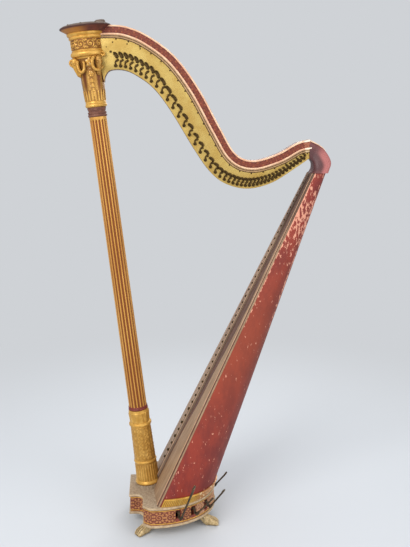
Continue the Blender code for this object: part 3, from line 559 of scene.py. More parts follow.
# Deep red oil paint on the shell, flaked to pink ground; its dark colour paints shade on the shell's back
SHELL_RED = Finish("flaked_red_shell_paint", Slot.RED_PAINT, "#8E2C1A", "#74221C", "#D8957A", 0.6, wear=0.22,
                   patch_mm=48, chip_mm=8, bump_mm=0.25, hollow="#421A18", gilding="#93411F",
                   stretch=(1.0, 1.0, 0.45))
# The shoulder's paint, darker, thin over mahogany; its dark colour paints shade on the inner side, and its
# pink colour a painted highlight on the outer side
SHOULDER_RED = Finish("shoulder_plum_paint", Slot.DARK_RED, "#6C3A38", "#583030", "#A0605A", 0.5, wear=0.08,
                      patch_mm=34, chip_mm=9, hollow="#46282A", gilding="#A6605C")
# Spruce board under old varnish, with grain up the board
BOARD_WOOD = Finish("varnished_spruce", Slot.SPRUCE, "#A08264", "#8A6C50", "#B49C7C", 0.5, wear=0.10,
                    patch_mm=9, chip_mm=14, bump_mm=0.08, stretch=(0.12, 1.0, 0.12), hollow="#4A3020")
# Dark binding strips and the rib's hardwood; the binding's finish also paints the dark band beside the rib,
# partly a stain and partly painted shadow of the rib's side
BINDING_DARK = Finish("walnut_binding_and_rib_shadow", Slot.SPRUCE, "#66402C", "#503022", "#86603F", 0.5, wear=0.1,
                      patch_mm=10, chip_mm=6, stretch=(0.2, 1.0, 0.2))
RIB_WOOD = Finish("beech_rib", Slot.SPRUCE, "#856F5C", "#6E5B4A", "#A08A70", 0.55, wear=0.10, patch_mm=10,
                  chip_mm=8, stretch=(0.15, 1.0, 0.15), hollow="#2A1C14")
# Pale lines on the board, and the painted highlight, with some wear, along the rib's arrises
LINE_PALE = Finish("rubbed_pale_line_and_arris_highlight", Slot.SPRUCE, "#D2A682", "#B8906C", "#E4C4A0", 0.5, wear=0.15,
                   patch_mm=30, chip_mm=5)
# The base's top, gritty where gesso and paint have gone
BASE_TOP = Finish("gritty_bare_gesso", Slot.WORN_BOARD, "#A8937A", "#8C775F", "#6E4A3C", 0.8, wear=0.26,
                  patch_mm=7, chip_mm=5, bump_mm=0.3, worn_roughness=0.85)
EDGE_CREAM = Finish("cream_worn_edge", Slot.WORN_BOARD, "#C2AA88", "#A48A6A", "#7E6048", 0.7, wear=0.22,
                    patch_mm=14, chip_mm=7, bump_mm=0.25)
BASE_WALL = Finish("red_base_paint", Slot.BASE_RED, "#8E4230", "#763426", "#B98A66", 0.55, wear=0.14,
                   patch_mm=16, chip_mm=5, bump_mm=0.2, hollow="#4E2216", gilding="#C4894C")
PAW_GILT = Finish("rubbed_paw_gilding", Slot.PAW_GILT, "#D2B888", "#A08456", "#EADFC4", 0.5, metallic=0.2,
                  wear=0.3, patch_mm=8, chip_mm=6, hollow="#3A2810")


class Workshop:
    """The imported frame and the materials, and how a finished piece is set in the frame."""

    def __init__(self, frame: dict[str, Any]) -> None:
        """Keep the frame's nodes, and make no material before it is asked for."""
        self.nodes: dict[str, bpy.types.Object] = frame["nodes"]
        self.made: dict[str, bpy.types.Material] = {}

    def material(self, finish: Finish) -> bpy.types.Material:
        """The finish's material, made once."""
        if finish.name not in self.made:
            self.made[finish.name] = finish.build()
        return self.made[finish.name]

    def put(self, name: str, casting: Casting, finishes: Finish | Sequence[Finish], body: str = "frame",
            replaces: Sequence[str] = (), sharp: float = 40.0) -> bpy.types.Object:
        """Turn a casting into a piece that rides a body.

        Args:
            name: the piece's name.
            casting: its surfaces.
            finishes: one finish, or one for each slot number.
            body: the CAD body that carries it.
            replaces: CAD nodes that it stands for.
            sharp: edges over this angle, in degrees, stay sharp.
        Returns:
            The object.
        """
        chosen = [finishes] if isinstance(finishes, Finish) else list(finishes)
        piece = casting.mesh(name, [self.material(one) for one in chosen], sharp)
        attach(piece, body)
        if replaces:
            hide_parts(*replaces)
        LOG.info("%s: %d points, on %s", name, casting.count, body)
        return piece

    def dress(self, node: str, finish: Finish) -> None:
        """Give a CAD node that stays in view its finish."""
        slots = self.nodes[node].data.materials
        slots.clear()
        slots.append(self.material(finish))
        LOG.info("%s: dressed in %s", node, finish.name)


@dataclass
class SubAssembly:
    """A group of pieces that one workshop sets in the frame."""

    shop: Workshop


# The harp's own lines

@dataclass(frozen=True)
class Layout:
    """Driving sizes shared by the sub-assemblies, the same as those of the harp's solids."""

    column_x: float = -0.182
    lean: float = radians(6.33)
    foot_z: float = 0.1323
    base_top_z: float = 0.113
    board_slope: float = 0.4703
    back_slope: float = 0.3370
    board_x0: float = 0.0345
    back_x0: float = 0.2310
    half_w: float = 0.1640
    top_half_w: float = 0.0475
    shell_top_z: float = 1.2080
    belly_low: float = 0.0130
    belly_high: float = 0.0015
    board_t: float = 0.0050

    @property
    def slant(self) -> float:
        """Share of a step square to the board that is left of the same step along X."""
        return cos(atan2(self.board_slope, 1))

    def at(self, x: Array | float, y: Array | float, z: Array | float) -> Array:
        """Points of the frame, from x measured from the column's foot."""
        return coords(x + self.column_x, y, z)

    def side(self, line: Array, y: Array | float) -> Array:
        """Points of the side view, (x from the column's foot, z), at some y."""
        return self.at(line[..., 0], y, line[..., 1])

    def plan(self, outline: Array, z: Array | float) -> Array:
        """Points of a plan, (x from the column's foot, y), at some height."""
        return self.at(outline[..., 0], outline[..., 1], z)

    def on_column(self, points: Array) -> Array:
        """Points of the column's own frame, whose Z is its leaning axis."""
        c, s = cos(self.lean), sin(self.lean)
        x, y, z = np.moveaxis(points, -1, 0)
        return self.at(c * x - s * z, y, self.foot_z + s * x + c * z)

    def share_up(self, z: Array) -> Array:
        """0 at the base's top and 1 at the soundbox's top."""
        return (z - self.base_top_z) / (self.shell_top_z - self.base_top_z)

    def board_x(self, z: Array) -> Array:
        """The board's edge at its front face, from the column's foot."""
        return self.board_x0 + self.board_slope * (z - self.base_top_z)

    def behind_board(self, z: Array, gap: float) -> Array:
        """The board's edge at its back face, and a gap behind it."""
        return self.board_x(z) + (self.board_t + gap) / self.slant

    def seat_x(self, z: Array) -> Array:
        """The bellied board's front on the median plane, where the string rib sits."""
        return self.board_x(z) - self.belly(z)

    def back_x(self, z: Array) -> Array:
        """The shell's back on the median plane."""
        return self.back_x0 + self.back_slope * (z - self.base_top_z)

    def half_width(self, z: Array) -> Array:
        """Half the shell's width at its front edge."""
        return blend(self.half_w, self.top_half_w, self.share_up(z))

    def belly(self, z: Array) -> Array:
        """How far the board's middle stands forward of its edges, along X."""
        return blend(self.belly_low, self.belly_high, self.share_up(z)) / self.slant


LAYOUT = Layout()


def turning(profile: Array, steps: int, bore: float = 0.0, carve: Relief | None = None,
            depth: float = 0.0015) -> tuple[Array, Array]:
    """Carry a profile round the column's axis, with carving that stands out from it.

    Args:
        profile: (height, radius) from bottom to top.
        steps: points round it.
        bore: radius of the hole through it; the profile is then closed down the bore.
        carve: gives the carving from 0 to 1 at (turn, height), or NaN where it is plain.
        depth: how far the carving's top stands out.
    Returns:
        Points, rows x steps x 3 in the frame, and the same grid's hollows: 1 - carving where it is carved.
    """
    turn = turns(steps)
    heights, radii = profile[:, :1], profile[:, 1:]
    shown = carve(*np.broadcast_arrays(turn, heights)) if carve else np.full((len(profile), steps), np.nan)
    hollow = np.where(np.isnan(shown), 0.0, 1 - shown)
    points = polar(radii + depth * np.nan_to_num(shown), turn, heights)
    if bore:
        points = np.concatenate([points, polar(bore, turn, heights[[-1, 0]])])
        hollow = np.concatenate([hollow, np.zeros((2, steps))])
    return LAYOUT.on_column(points), hollow


def sector(turn: Array, count: int, shift: float = 0.0) -> Array:
    """Place within one of count equal sectors, from -1 to 1."""
    return ((turn * count / (2 * pi) + shift) % 1.0) * 2 - 1


def leaves(turn: Array, up: Array, count: int, shift: float = 0.0) -> Array:
    """A row of upright leaves with round tips and a midrib; up is 0 at their feet and 1 at their tips."""
    u = sector(turn, count, shift)
    half = 0.94 * np.sqrt(np.clip(1 - np.clip(up, 0, 1) ** 2.4, 0, 1)) + 1e-6
    blade = smooth(0.0, 0.28, half - np.abs(u)) * (0.62 + 0.38 * np.cos(pi * np.clip(u / half, -1, 1)))
    rib = 0.35 * bell(u, 0.13) * (up < 0.96)
    return np.clip(blade + rib * (half > 0.15), 0, 1)


def vine(turn: Array, height: Array, count: int, pitch: float) -> Array:
    """Waving stems with paired leaves and berries: the lower column's all-over pattern."""
    u = sector(turn, count)
    shown = 0.8 * bell(u - 0.45 * np.sin(height / pitch * 2 * pi), 0.16)
    for phase, place in ((0.25, -0.52), (0.75, 0.52)):
        v = off_whole(height / pitch - phase) * 2
        leaf = bell(u - place + 0.35 * v * np.sign(place), 0.30) * bell(v, 0.42)
        berry = bell(np.hypot(u + place * 0.9, v * 0.8), 0.17)
        shown = np.maximum(shown, np.maximum(leaf, berry))
    return np.clip(shown, 0, 1)


def scroll(u: Array, v: Array, pitch: float, width: float, reach: float, fade: float) -> Array:
    """A one-armed spiral, bell(frac(phi / 2 pi + rho / pitch) - 0.5), that fades out at its reach."""
    rho, phi = np.hypot(u, v), np.arctan2(v, u)
    arm = bell((phi / (2 * pi) + rho / pitch) % 1.0 - 0.5, width)
    return arm * smooth(reach, reach - fade, rho)


@dataclass
class Column(SubAssembly):
    """Turned and carved column: plinth, foot, fluted shaft and collar rings.

    Profiles are (height, radius) from bottom to top.
    """

    bore: float = 0.0170
    foot_profile: Profile = (
        (-0.0055, 0.0405), (-0.0030, 0.0432), (0.0, 0.0441), (0.0030, 0.0432), (0.0055, 0.0408),
        (0.0085, 0.0388), (0.0400, 0.0372), (0.0735, 0.0366), (0.0745, 0.0385), (0.0780, 0.0398),
        (0.0815, 0.0385), (0.0830, 0.0364), (0.1450, 0.0350), (0.2080, 0.0337), (0.2100, 0.0365),
        (0.2130, 0.0385), (0.2160, 0.0391), (0.2190, 0.0386), (0.2220, 0.0360), (0.2240, 0.0336),
        (0.2420, 0.0340), (0.2590, 0.0352), (0.2620, 0.0342), (0.2692, 0.0338))
    collar_profile: Profile = (
        (1.2625, 0.0283), (1.2640, 0.0300), (1.2665, 0.0306), (1.2690, 0.0298), (1.2702, 0.0284),
        (1.2718, 0.0284), (1.2732, 0.0298), (1.2750, 0.0302), (1.2772, 0.0290), (1.2786, 0.0270),
        (1.2815, 0.0270), (1.2826, 0.0284), (1.2845, 0.0290), (1.2860, 0.0286), (1.2868, 0.0292),
        (1.2885, 0.0301), (1.2905, 0.0300), (1.2920, 0.0288))
    ring_profile: Profile = (
        (0.2696, 0.0300), (0.2696, 0.0322), (0.2712, 0.0332), (0.2738, 0.0335), (0.2758, 0.0327),
        (0.2766, 0.0320), (0.2776, 0.0326), (0.2796, 0.0329), (0.2814, 0.0320), (0.2820, 0.0296))
    ring_bore: float = 0.0290
    flutes: int = 16
    shaft_low: float = 0.2697
    shaft_high: float = 1.2620
    shaft_r_low: float = 0.0308
    shaft_r_high: float = 0.0272
    flute_depth: float = 0.0036
    flute_share: float = 0.62            # of each pitch, the rest is the fillet between two flutes
    flute_end: float = 0.0145            # from the shaft's end to where a flute is full
    flute_round: float = 0.0060          # length of its round end
    ring_l: float = 0.0070               # plain ring at each end of the shaft
    ring_proud: float = 0.0006

    def build(self) -> None:
        """Its pieces, from the foot up."""
        self.foot()
        self.shaft()
        self.collar()

    def foot(self) -> None:
        """Carved foot: torus, fluted leaves, ring, vine ground, ring and calyx of leaves.

        Each zone's height is turned to 0 to 1 and carved by leaves or vine.
        """
        profile = densified(self.foot_profile, 0.0012)

        def carve(turn: Array, height: Array) -> Array:
            """The three carved zones between the rings."""
            low = leaves(turn, (height - 0.010) / 0.060, 26)
            middle = vine(turn, height, 9, 0.0250)
            calyx = leaves(turn, (height - 0.224) / 0.036, 12)
            shown = np.full_like(height, np.nan)
            for zone, first, last in ((low, 0.0100, 0.0725), (middle, 0.0850, 0.2065),
                                      (calyx, 0.2245, 0.2600)):
                shown = np.where((height > first) & (height < last), zone, shown)
            return shown

        points, hollow = turning(profile, 216, self.bore, carve, 0.0016)
        darkness = np.where(profile[:, :1] > 0.22, 0.12, 0.36)
        hollow[:len(profile)] *= darkness
        cast = Casting().grid(points, along=True, hollow=hollow)
        self.shop.put("column_foot_carved", cast, CARVED_GILT, replaces=["column_foot"])
        self.shop.dress("column_plinth", BASE_TOP)

    def shaft(self) -> None:
        """Shaft with round-ended flutes: depth follows a half circle across each flute."""
        ends = np.array([0.0, 0.004, 0.008, 0.011, 0.013, 0.0145, 0.016, 0.018, 0.021, 0.026])
        span = self.shaft_high - self.shaft_low
        up = np.concatenate([ends, np.linspace(0.05, span - 0.05, 22), (span - ends)[::-1]])[:, None]
        turn = turns(self.flutes * 14)
        groove = dome(np.abs(sector(turn, self.flutes)) / self.flute_share)
        near_end = np.minimum(up, span - up)
        cap = dome(np.clip((self.flute_end - near_end) / self.flute_round, 0, 1))
        cut = np.clip(groove ** 2 + cap ** 2 - 1, 0, 1) ** 0.5 * (near_end > 0.008)
        radius = blend(self.shaft_r_low, self.shaft_r_high, up / span)
        radius = radius + self.ring_proud * (near_end < self.ring_l) - self.flute_depth * cut
        points = polar(radius, turn, self.shaft_low + up)
        inner = polar(self.bore, turn, np.array([[self.shaft_high], [self.shaft_low]]))
        hollow = np.concatenate([smooth(0.15, 0.75, cut), np.zeros((2, len(turn)))])
        cast = Casting().grid(LAYOUT.on_column(np.concatenate([points, inner])), along=True, hollow=hollow)
        self.shop.put("fluted_shaft", cast, SHAFT_GILT, replaces=["column_shaft"], sharp=30)

    def collar(self) -> None:
        """Red rings between the shaft and the capital, and the red ring at the shaft's foot."""
        points, _ = turning(densified(self.collar_profile, 0.0009), 96, self.bore)
        self.shop.put("collar_rings", Casting().grid(points, along=True), COLLAR_RED,
                      replaces=["column_collar"])
        points, _ = turning(densified(self.ring_profile, 0.0007), 96, self.ring_bore)
        self.shop.put("shaft_foot_ring", Casting().grid(points, along=True), FOOT_RING_RED)


@dataclass
class Capital(SubAssembly):
    """Carved capital: leaf bell, rams' heads between their horns, pendants, and the crown over them.

    Profiles are (height, radius) from bottom to top.
    """

    bore: float = 0.0170
    bell_profile: Profile = (
        (1.2925, 0.0318), (1.2945, 0.0336), (1.2975, 0.0345), (1.3005, 0.0336), (1.3025, 0.0322),
        (1.3040, 0.0326), (1.3060, 0.0328), (1.3080, 0.0322), (1.3100, 0.0314), (1.3500, 0.0340),
        (1.3850, 0.0356), (1.4150, 0.0378), (1.4360, 0.0430), (1.4448, 0.0476))
    flower_z: float = 1.3920
    husks: int = 4
    husk_top: float = 1.3790
    husk_pitch: float = 0.0140
    ram_turns: tuple[float, ...] = (54, -54, 150, -150)
    ram_r: float = 0.0430
    ram_far_r: float = 0.0450            # the two heads away from the neck stand further out
    ram_z: float = 1.4180
    # A head's rings from poll to snout: share of its length, half width and half depth
    head_rings: tuple[tuple[float, float, float], ...] = (
        (0.00, 0.00258, 0.0030), (0.08, 0.007912, 0.0085), (0.22, 0.010148, 0.0112), (0.38, 0.00946, 0.0112),
        (0.55, 0.007396, 0.0090), (0.75, 0.005848, 0.0074), (0.90, 0.005676, 0.0070), (0.97, 0.0043, 0.0052),
        (1.00, 0.001892, 0.0024))
    head_l: float = 0.0580
    horn_tube: float = 0.0058
    horn_r: float = 0.0490               # of the cylinder that the horns wrap round
    horn_z: float = 1.4215
    # Horns that wrap the bell, by the neck and away from it: middle along X, half sizes, and the
    # angles in degrees where each begins and ends
    horns: tuple[tuple[float, ...], ...] = (
        (0.0236, 0.0150, 0.0215, 112, 338), (-0.0262, 0.0112, 0.0235, 140, 392))
    volute_x: float = -0.0535            # curl that ends the far head's other horn
    volute_z: float = 1.4300
    volute_r: float = 0.0108
    pendant_turns: tuple[float, ...] = (-88, 88, 172)
    palmette_r: float = 0.0165
    palmette_z: float = 1.4230
    crown_profile: Profile = (
        (1.4450, 0.0478), (1.4466, 0.0512), (1.4495, 0.0536), (1.4535, 0.0546), (1.4575, 0.0540),
        (1.4606, 0.0520), (1.4618, 0.0500), (1.4634, 0.0504), (1.4650, 0.0496), (1.4660, 0.0482),
        (1.4830, 0.0483), (1.4975, 0.0488), (1.4986, 0.0520), (1.5010, 0.0538), (1.5034, 0.0540),
        (1.5046, 0.0524), (1.5062, 0.0526), (1.5090, 0.0560), (1.5130, 0.0584), (1.5150, 0.0586),
        (1.5160, 0.0572), (1.5172, 0.0580))
    drum_low: float = 1.4660
    drum_high: float = 1.4975
    drum_r: float = 0.0490
    drum_scrolls: int = 10
    crown_shift: float = 0.0030          # how far the crown's drum stands forward of the axis
    hook_x: float = 0.0440               # curls under the crown, beside the neck
    hook_z: float = 1.4480
    hook_r: float = 0.0062
    rim_profile: Profile = (
        (1.5173, 0.0530), (1.5173, 0.0584), (1.5190, 0.0606), (1.5215, 0.0640), (1.5256, 0.0700),
        (1.5298, 0.0772), (1.5318, 0.0800), (1.5330, 0.0808), (1.5346, 0.0805), (1.5355, 0.0790),
        (1.5350, 0.0500))
    dome_profile: Profile = (
        (1.5345, 0.0792), (1.5362, 0.0786), (1.5392, 0.0730), (1.5420, 0.0630), (1.5444, 0.0480),
        (1.5456, 0.0280), (1.5460, 0.0040))
    # The lid over the neck's end: heights, and shares of its plan's size there
    lid_rings: Profile = (
        (1.5400, 1.0), (1.5470, 1.0), (1.5498, 0.94), (1.5514, 0.82), (1.5522, 0.55), (1.5524, 0.10))
    lid_x: float = 0.0470
    lid_l: float = 0.0330
    lid_w: float = 0.0440
    stud_turns: tuple[float, ...] = (-96, -131, -60, 96, 131, 60)
    stud_r: float = 0.0720
    stud_z: float = 1.5398

    def build(self) -> None:
        """Its pieces, from the bell up."""
        self.bell_body()
        self.rams()
        self.garlands()
        self.crown()

    def bell_body(self) -> None:
        """The bell: beaded astragal, ring of upright leaves, and flower and husk pendants down its sides."""
        profile = densified(self.bell_profile, 0.0012)

        def carve(turn: Array, height: Array) -> Array:
            """Two rings of leaves, and the pendants over them."""
            veil = 0.45 * leaves(turn, (height - 1.336) / 0.070, 10, 0.5)
            shown = np.where(height > 1.343, veil, leaves(turn, (height - 1.310) / 0.034, 20))
            for middle in self.pendant_turns:
                across = off_whole((turn - radians(middle)) / (2 * pi)) * 2 * pi * 0.036
                shown = self.pendant(across, height, shown)
            return np.where((height > 1.3105) & (height < 1.440), shown, np.nan)

        points, hollow = turning(profile, 240, self.bore, carve, 0.0018)
        red = np.zeros(hollow.shape)
        red[:len(profile)] = (bell(np.abs(np.cos(turns(240))) - 0.62, 0.12)
                              * bell(profile[:, :1] - 1.378, 0.026))
        cast = Casting().grid(points, along=True, hollow=np.clip(hollow * 0.75 + 0.5 * red, 0, 1), wear=0.10)
        self.shop.put("capital_bell", cast, CARVED_GILT, replaces=["capital"])

    def pendant(self, across: Array, height: Array, shown: Array) -> Array:
        """A six-petalled flower over the ground's carving, and four husks that get smaller below it."""
        rho = np.hypot(across, height - self.flower_z)
        petal = bell(rho - 0.0056, 0.0030) * (
            0.7 + 0.3 * np.cos(6 * np.arctan2(height - self.flower_z, across)))
        shown = np.where(rho < 0.0110, petal + bell(rho, 0.0018), shown)
        for k in range(self.husks):
            up = (self.husk_top - self.husk_pitch * k - height) / 0.0130
            half = (0.0088 - 0.0010 * k) * (0.35 + 0.65 * np.clip(up, 0, 1) ** 0.8)
            husk = smooth(0, 0.0016, half - np.abs(across)) * smooth(0, 0.15, up) * smooth(0, 0.12, 1 - up)
            shown = np.maximum(shown, husk * (0.72 + 0.28 * np.cos(across / 0.0011)))
        return shown

    def rams(self) -> None:
        """Rams' heads with ridged horns: those by the neck darkened with painted shade, and those away from
        it with a second curl.
        """
        cast = Casting()
        for turn in self.ram_turns:
            around = Matrix.Rotation(radians(turn), 4, "Z")
            by_neck, side = abs(turn) < 90, 1 if turn > 0 else -1
            points, hollow = self.head(self.ram_r if by_neck else self.ram_far_r)
            # painted shade: the heads by the neck get 0.45 more darkness
            cast.grid(LAYOUT.on_column(placed(points, around)), hollow=np.clip(hollow + 0.45 * by_neck, 0, 1))
            horns = [self.wrapped_horn(side, *self.horns[0 if by_neck else 1])]
            if not by_neck:
                horns.append(self.volute(side))
            for points, hollow in horns:
                cast.grid(LAYOUT.on_column(points), hollow=hollow, wear=0.15)
        self.shop.put("rams_heads", cast, CARVED_GILT, sharp=60)

    def head(self, out: float) -> tuple[Array, Array]:
        """One ram's head in the frame of its own turn.

        Its middle line runs down the bell; each ring is an oval whose half sizes follow the head's
        rings. Brow, eyes, cheeks and nose are bells added along the ring's own radius.

        Args:
            out: its distance from the axis.
        Returns:
            Points and their hollows.
        """
        t = np.linspace(0, 1, 46)[:, None]
        knots = np.array(self.head_rings)
        half_w, half_d = (np.interp(t, knots[:, 0], knots[:, k]) for k in (1, 2))
        path = coords(out + 0.0075 - 0.0135 * t + 0.0035 * np.sin(pi * t), 0.0,
                      self.ram_z + 0.0270 - self.head_l * t)
        turn = turns(40)
        lift = np.sin(turn)
        section = coords(np.cos(turn) * half_w, lift * half_d)
        front, side = np.clip(lift, 0, 1), np.abs(np.cos(turn))
        brow = bell(t - 0.24, 0.06) * bell(side - 0.62, 0.28) * front ** 0.3
        eye = bell(t - 0.335, 0.035) * bell(side - 0.80, 0.13) * (lift > 0.1)
        lid = bell(t - 0.335, 0.070) * bell(side - 0.80, 0.24) * (lift > 0.0)
        bridge = bell(side, 0.42) * smooth(0.25, 0.45, t) * smooth(0, 0.12, 1 - t) * front
        nostril = bell(t - 0.90, 0.030) * bell(side - 0.55, 0.18) * front
        mouth = bell(t - 0.93, 0.012) * (lift < 0.5)
        bulge = (0.0018 * brow + 0.0016 * eye - 0.0011 * (lid - eye) + 0.0014 * bridge - 0.0013 * nostril
                 - 0.0008 * mouth)
        section = section + unit(section) * bulge[..., None]
        # painted shade: the head's inner half, against the bell, gets 0.25 darkness; the rest marks its
        # carved recesses
        hollow = np.clip(0.9 * nostril + 0.7 * (lid - eye) + 0.5 * mouth + 0.25 * (lift < 0), 0, 1)
        return swept(path[:, 0], section, X_AXIS), hollow

    def volute(self, side: int) -> tuple[Array, Array]:
        """The outer curl beside a far head: a spiral that faces sideways, radius R(1 - 0.74t)."""
        t = np.linspace(0, 1, 130)
        swing = radians(-20) + t * radians(600)
        reach = self.volute_r * (1 - 0.74 * t)
        path = coords(self.volute_x + reach * np.cos(swing), side * (0.0150 + 0.0055 * t),
                      self.volute_z + 1.12 * reach * np.sin(swing))
        return self.ridged(path, 0.0037 * (1 - 0.40 * t), Y_AXIS)

    def wrapped_horn(self, side: int, x0: float, wide: float, high: float, first: float,
                     last: float) -> tuple[Array, Array]:
        """A big horn: most of an oval, wrapped on a cylinder about the axis.

        Args:
            side: 1 or -1, the side of the neck.
            x0: the oval's middle along X.
            wide: its half length.
            high: its half height.
            first: the angle in degrees where it begins.
            last: the angle where it ends.
        Returns:
            Points and their hollows.
        """
        t = np.linspace(0, 1, 110)
        swing = radians(first) + t * radians(last - first)
        flick = 0.0050 * smooth(0.80, 1.0, t) * (x0 > 0)
        x = x0 + wide * (1 - 0.12 * t) * np.cos(swing) + flick
        path = coords(x, side * np.sqrt(self.horn_r ** 2 - x ** 2),
                      self.horn_z + high * (1 - 0.10 * t) * np.sin(swing))
        return self.ridged(path, self.horn_tube * (1 - 0.42 * t), -Y_AXIS)

    def ridged(self, path: Array, size: Array, up: Array) -> tuple[Array, Array]:
        """A tube along a path, closed at both ends, with ridges |sin| along it, and its hollows."""
        t = np.linspace(0, 1, len(path))
        ends = np.sqrt(np.clip(np.minimum(t * 30, (1 - t) * 22), 0.04, 1))
        ridge = np.abs(np.sin(t * pi * 22))
        points = swept(path, round_section(2.0, 2.0, 18, 2.4), up, size * ends * (0.88 + 0.15 * ridge))
        return points, np.broadcast_to((1 - ridge)[:, None] ** 2 * 0.85, points.shape[:2])

    def garlands(self) -> None:
        """Worn palmettes between the horns, under the crown: lobed petals fan out from a boss."""
        cast = Casting()
        half_fan = radians(118)
        phi = np.linspace(-half_fan, half_fan, 36)
        rho = np.linspace(0, 1, 14)[:, None]
        petals = np.abs(np.cos(phi * 3.2))
        reach = rho * self.palmette_r * (0.72 + 0.28 * petals ** 0.6) * (1 - 0.16 * np.abs(phi) / half_fan)
        rise = 0.0036 * dome(rho) * (0.6 + 0.4 * petals) + 0.0015 * bell(rho, 0.25)
        height = self.palmette_z + reach * np.cos(phi) * 1.15
        seat = 0.0372 + (height - 1.410) * 0.24
        hollow = 0.6 * (1 - petals ** 0.5) * smooth(0.2, 0.5, rho)
        for middle in self.pendant_turns:
            turn = radians(middle) + reach * np.sin(phi) / 0.042
            front, back = polar(seat + rise, turn, height), polar(seat - 0.003, turn, height)
            cast.grid(LAYOUT.on_column(np.concatenate([front, back[::-1]])),
                      hollow=np.concatenate([hollow, 0 * hollow]), wear=0.45)
        self.shop.put("palmettes", cast, CARVED_GILT, sharp=50)

    def crown(self) -> None:
        """Crown: plain torus, drum with scrolls and rosettes, cornice, and the thin flared rim."""
        def carve(turn: Array, height: Array) -> Array:
            """Scrolls round the drum, with husks and corner leaves between them."""
            pitch = 2 * pi / self.drum_scrolls
            u = off_whole((turn + pi / 2) / pitch - 0.5) * pitch * self.drum_r
            v = height - (self.drum_low + self.drum_high) / 2
            side = np.abs(u) - pitch * self.drum_r / 2
            husk = bell(side, 0.0022) * (0.55 + 0.45 * np.cos(v * 700))
            leaf = bell(np.abs(side) - 0.0045, 0.0024) * bell(np.abs(v) - 0.0110, 0.0030)
            boss = bell(np.hypot(u, v), 0.0026)
            shown = np.clip(scroll(u, v, 0.0074, 0.24, 0.0136, 0.0014) + boss + husk + leaf, 0, 1)
            edge = np.minimum(height - self.drum_low, self.drum_high - height)
            return np.where(edge > 0, shown * smooth(0, 0.0016, edge), np.nan)

        points, hollow = turning(densified(self.crown_profile, 0.0010), 300, 0.0, carve, 0.0022)
        points[..., 0] -= self.crown_shift
        cast = Casting().grid(points, hollow=hollow * 0.95)
        t = np.linspace(0, 1, 26)
        swing = radians(120) - t * radians(330)
        reach = self.hook_r * (1 - 0.45 * t)
        for side in (-1, 1):
            path = coords(self.hook_x + reach * np.cos(swing), side * (0.0330 - 0.003 * t),
                          self.hook_z + reach * np.sin(swing))
            tube, _ = self.ridged(path, 0.0034 * (1 - 0.4 * t), Y_AXIS)
            cast.grid(LAYOUT.on_column(tube))
        self.shop.put("crown_drum", cast, CARVED_GILT, replaces=["crown"])
        rim = densified(self.rim_profile, 0.0016)
        points, _ = turning(rim, 160)
        gold = smooth(0.30, -0.40, np.cos(turns(160))) * smooth(1.5320, 1.5270, rim[:, :1])
        cast = Casting().grid(points, gilding=gold, hollow=0.8 * smooth(1.5290, 1.5325, rim[:, :1]))
        self.shop.put("crown_rim", cast, RIM_RED)
        self.top()

    def top(self) -> None:
        """The crown's weathered domed top with its studs, and the low rounded lid over the neck's end."""
        cast = Casting().grid(turning(densified(self.dome_profile, 0.0030), 120)[0])
        plan = round_section(self.lid_l, self.lid_w, 40, 2.6)
        lid = np.stack([coords(plan[:, 0] * share + self.lid_x, plan[:, 1] * share, level)
                        for level, share in self.lid_rings])
        cast.grid(LAYOUT.on_column(lid))
        self.shop.put("crown_top", cast, BARE_WOOD, replaces=["crown_lid"])
        head = stud(((-0.003, 0.0024), (0.0006, 0.0024), (0.0016, 0.0016), (0.0019, 0.0004)), 10)
        spots = LAYOUT.on_column(polar(self.stud_r, np.radians(self.stud_turns), self.stud_z))
        cast = Casting().copies(head, facing(spots, np.array([-0.11, 0, 0.99]), X_AXIS))
        self.shop.put("crown_studs", cast, BROWNED_IRON)


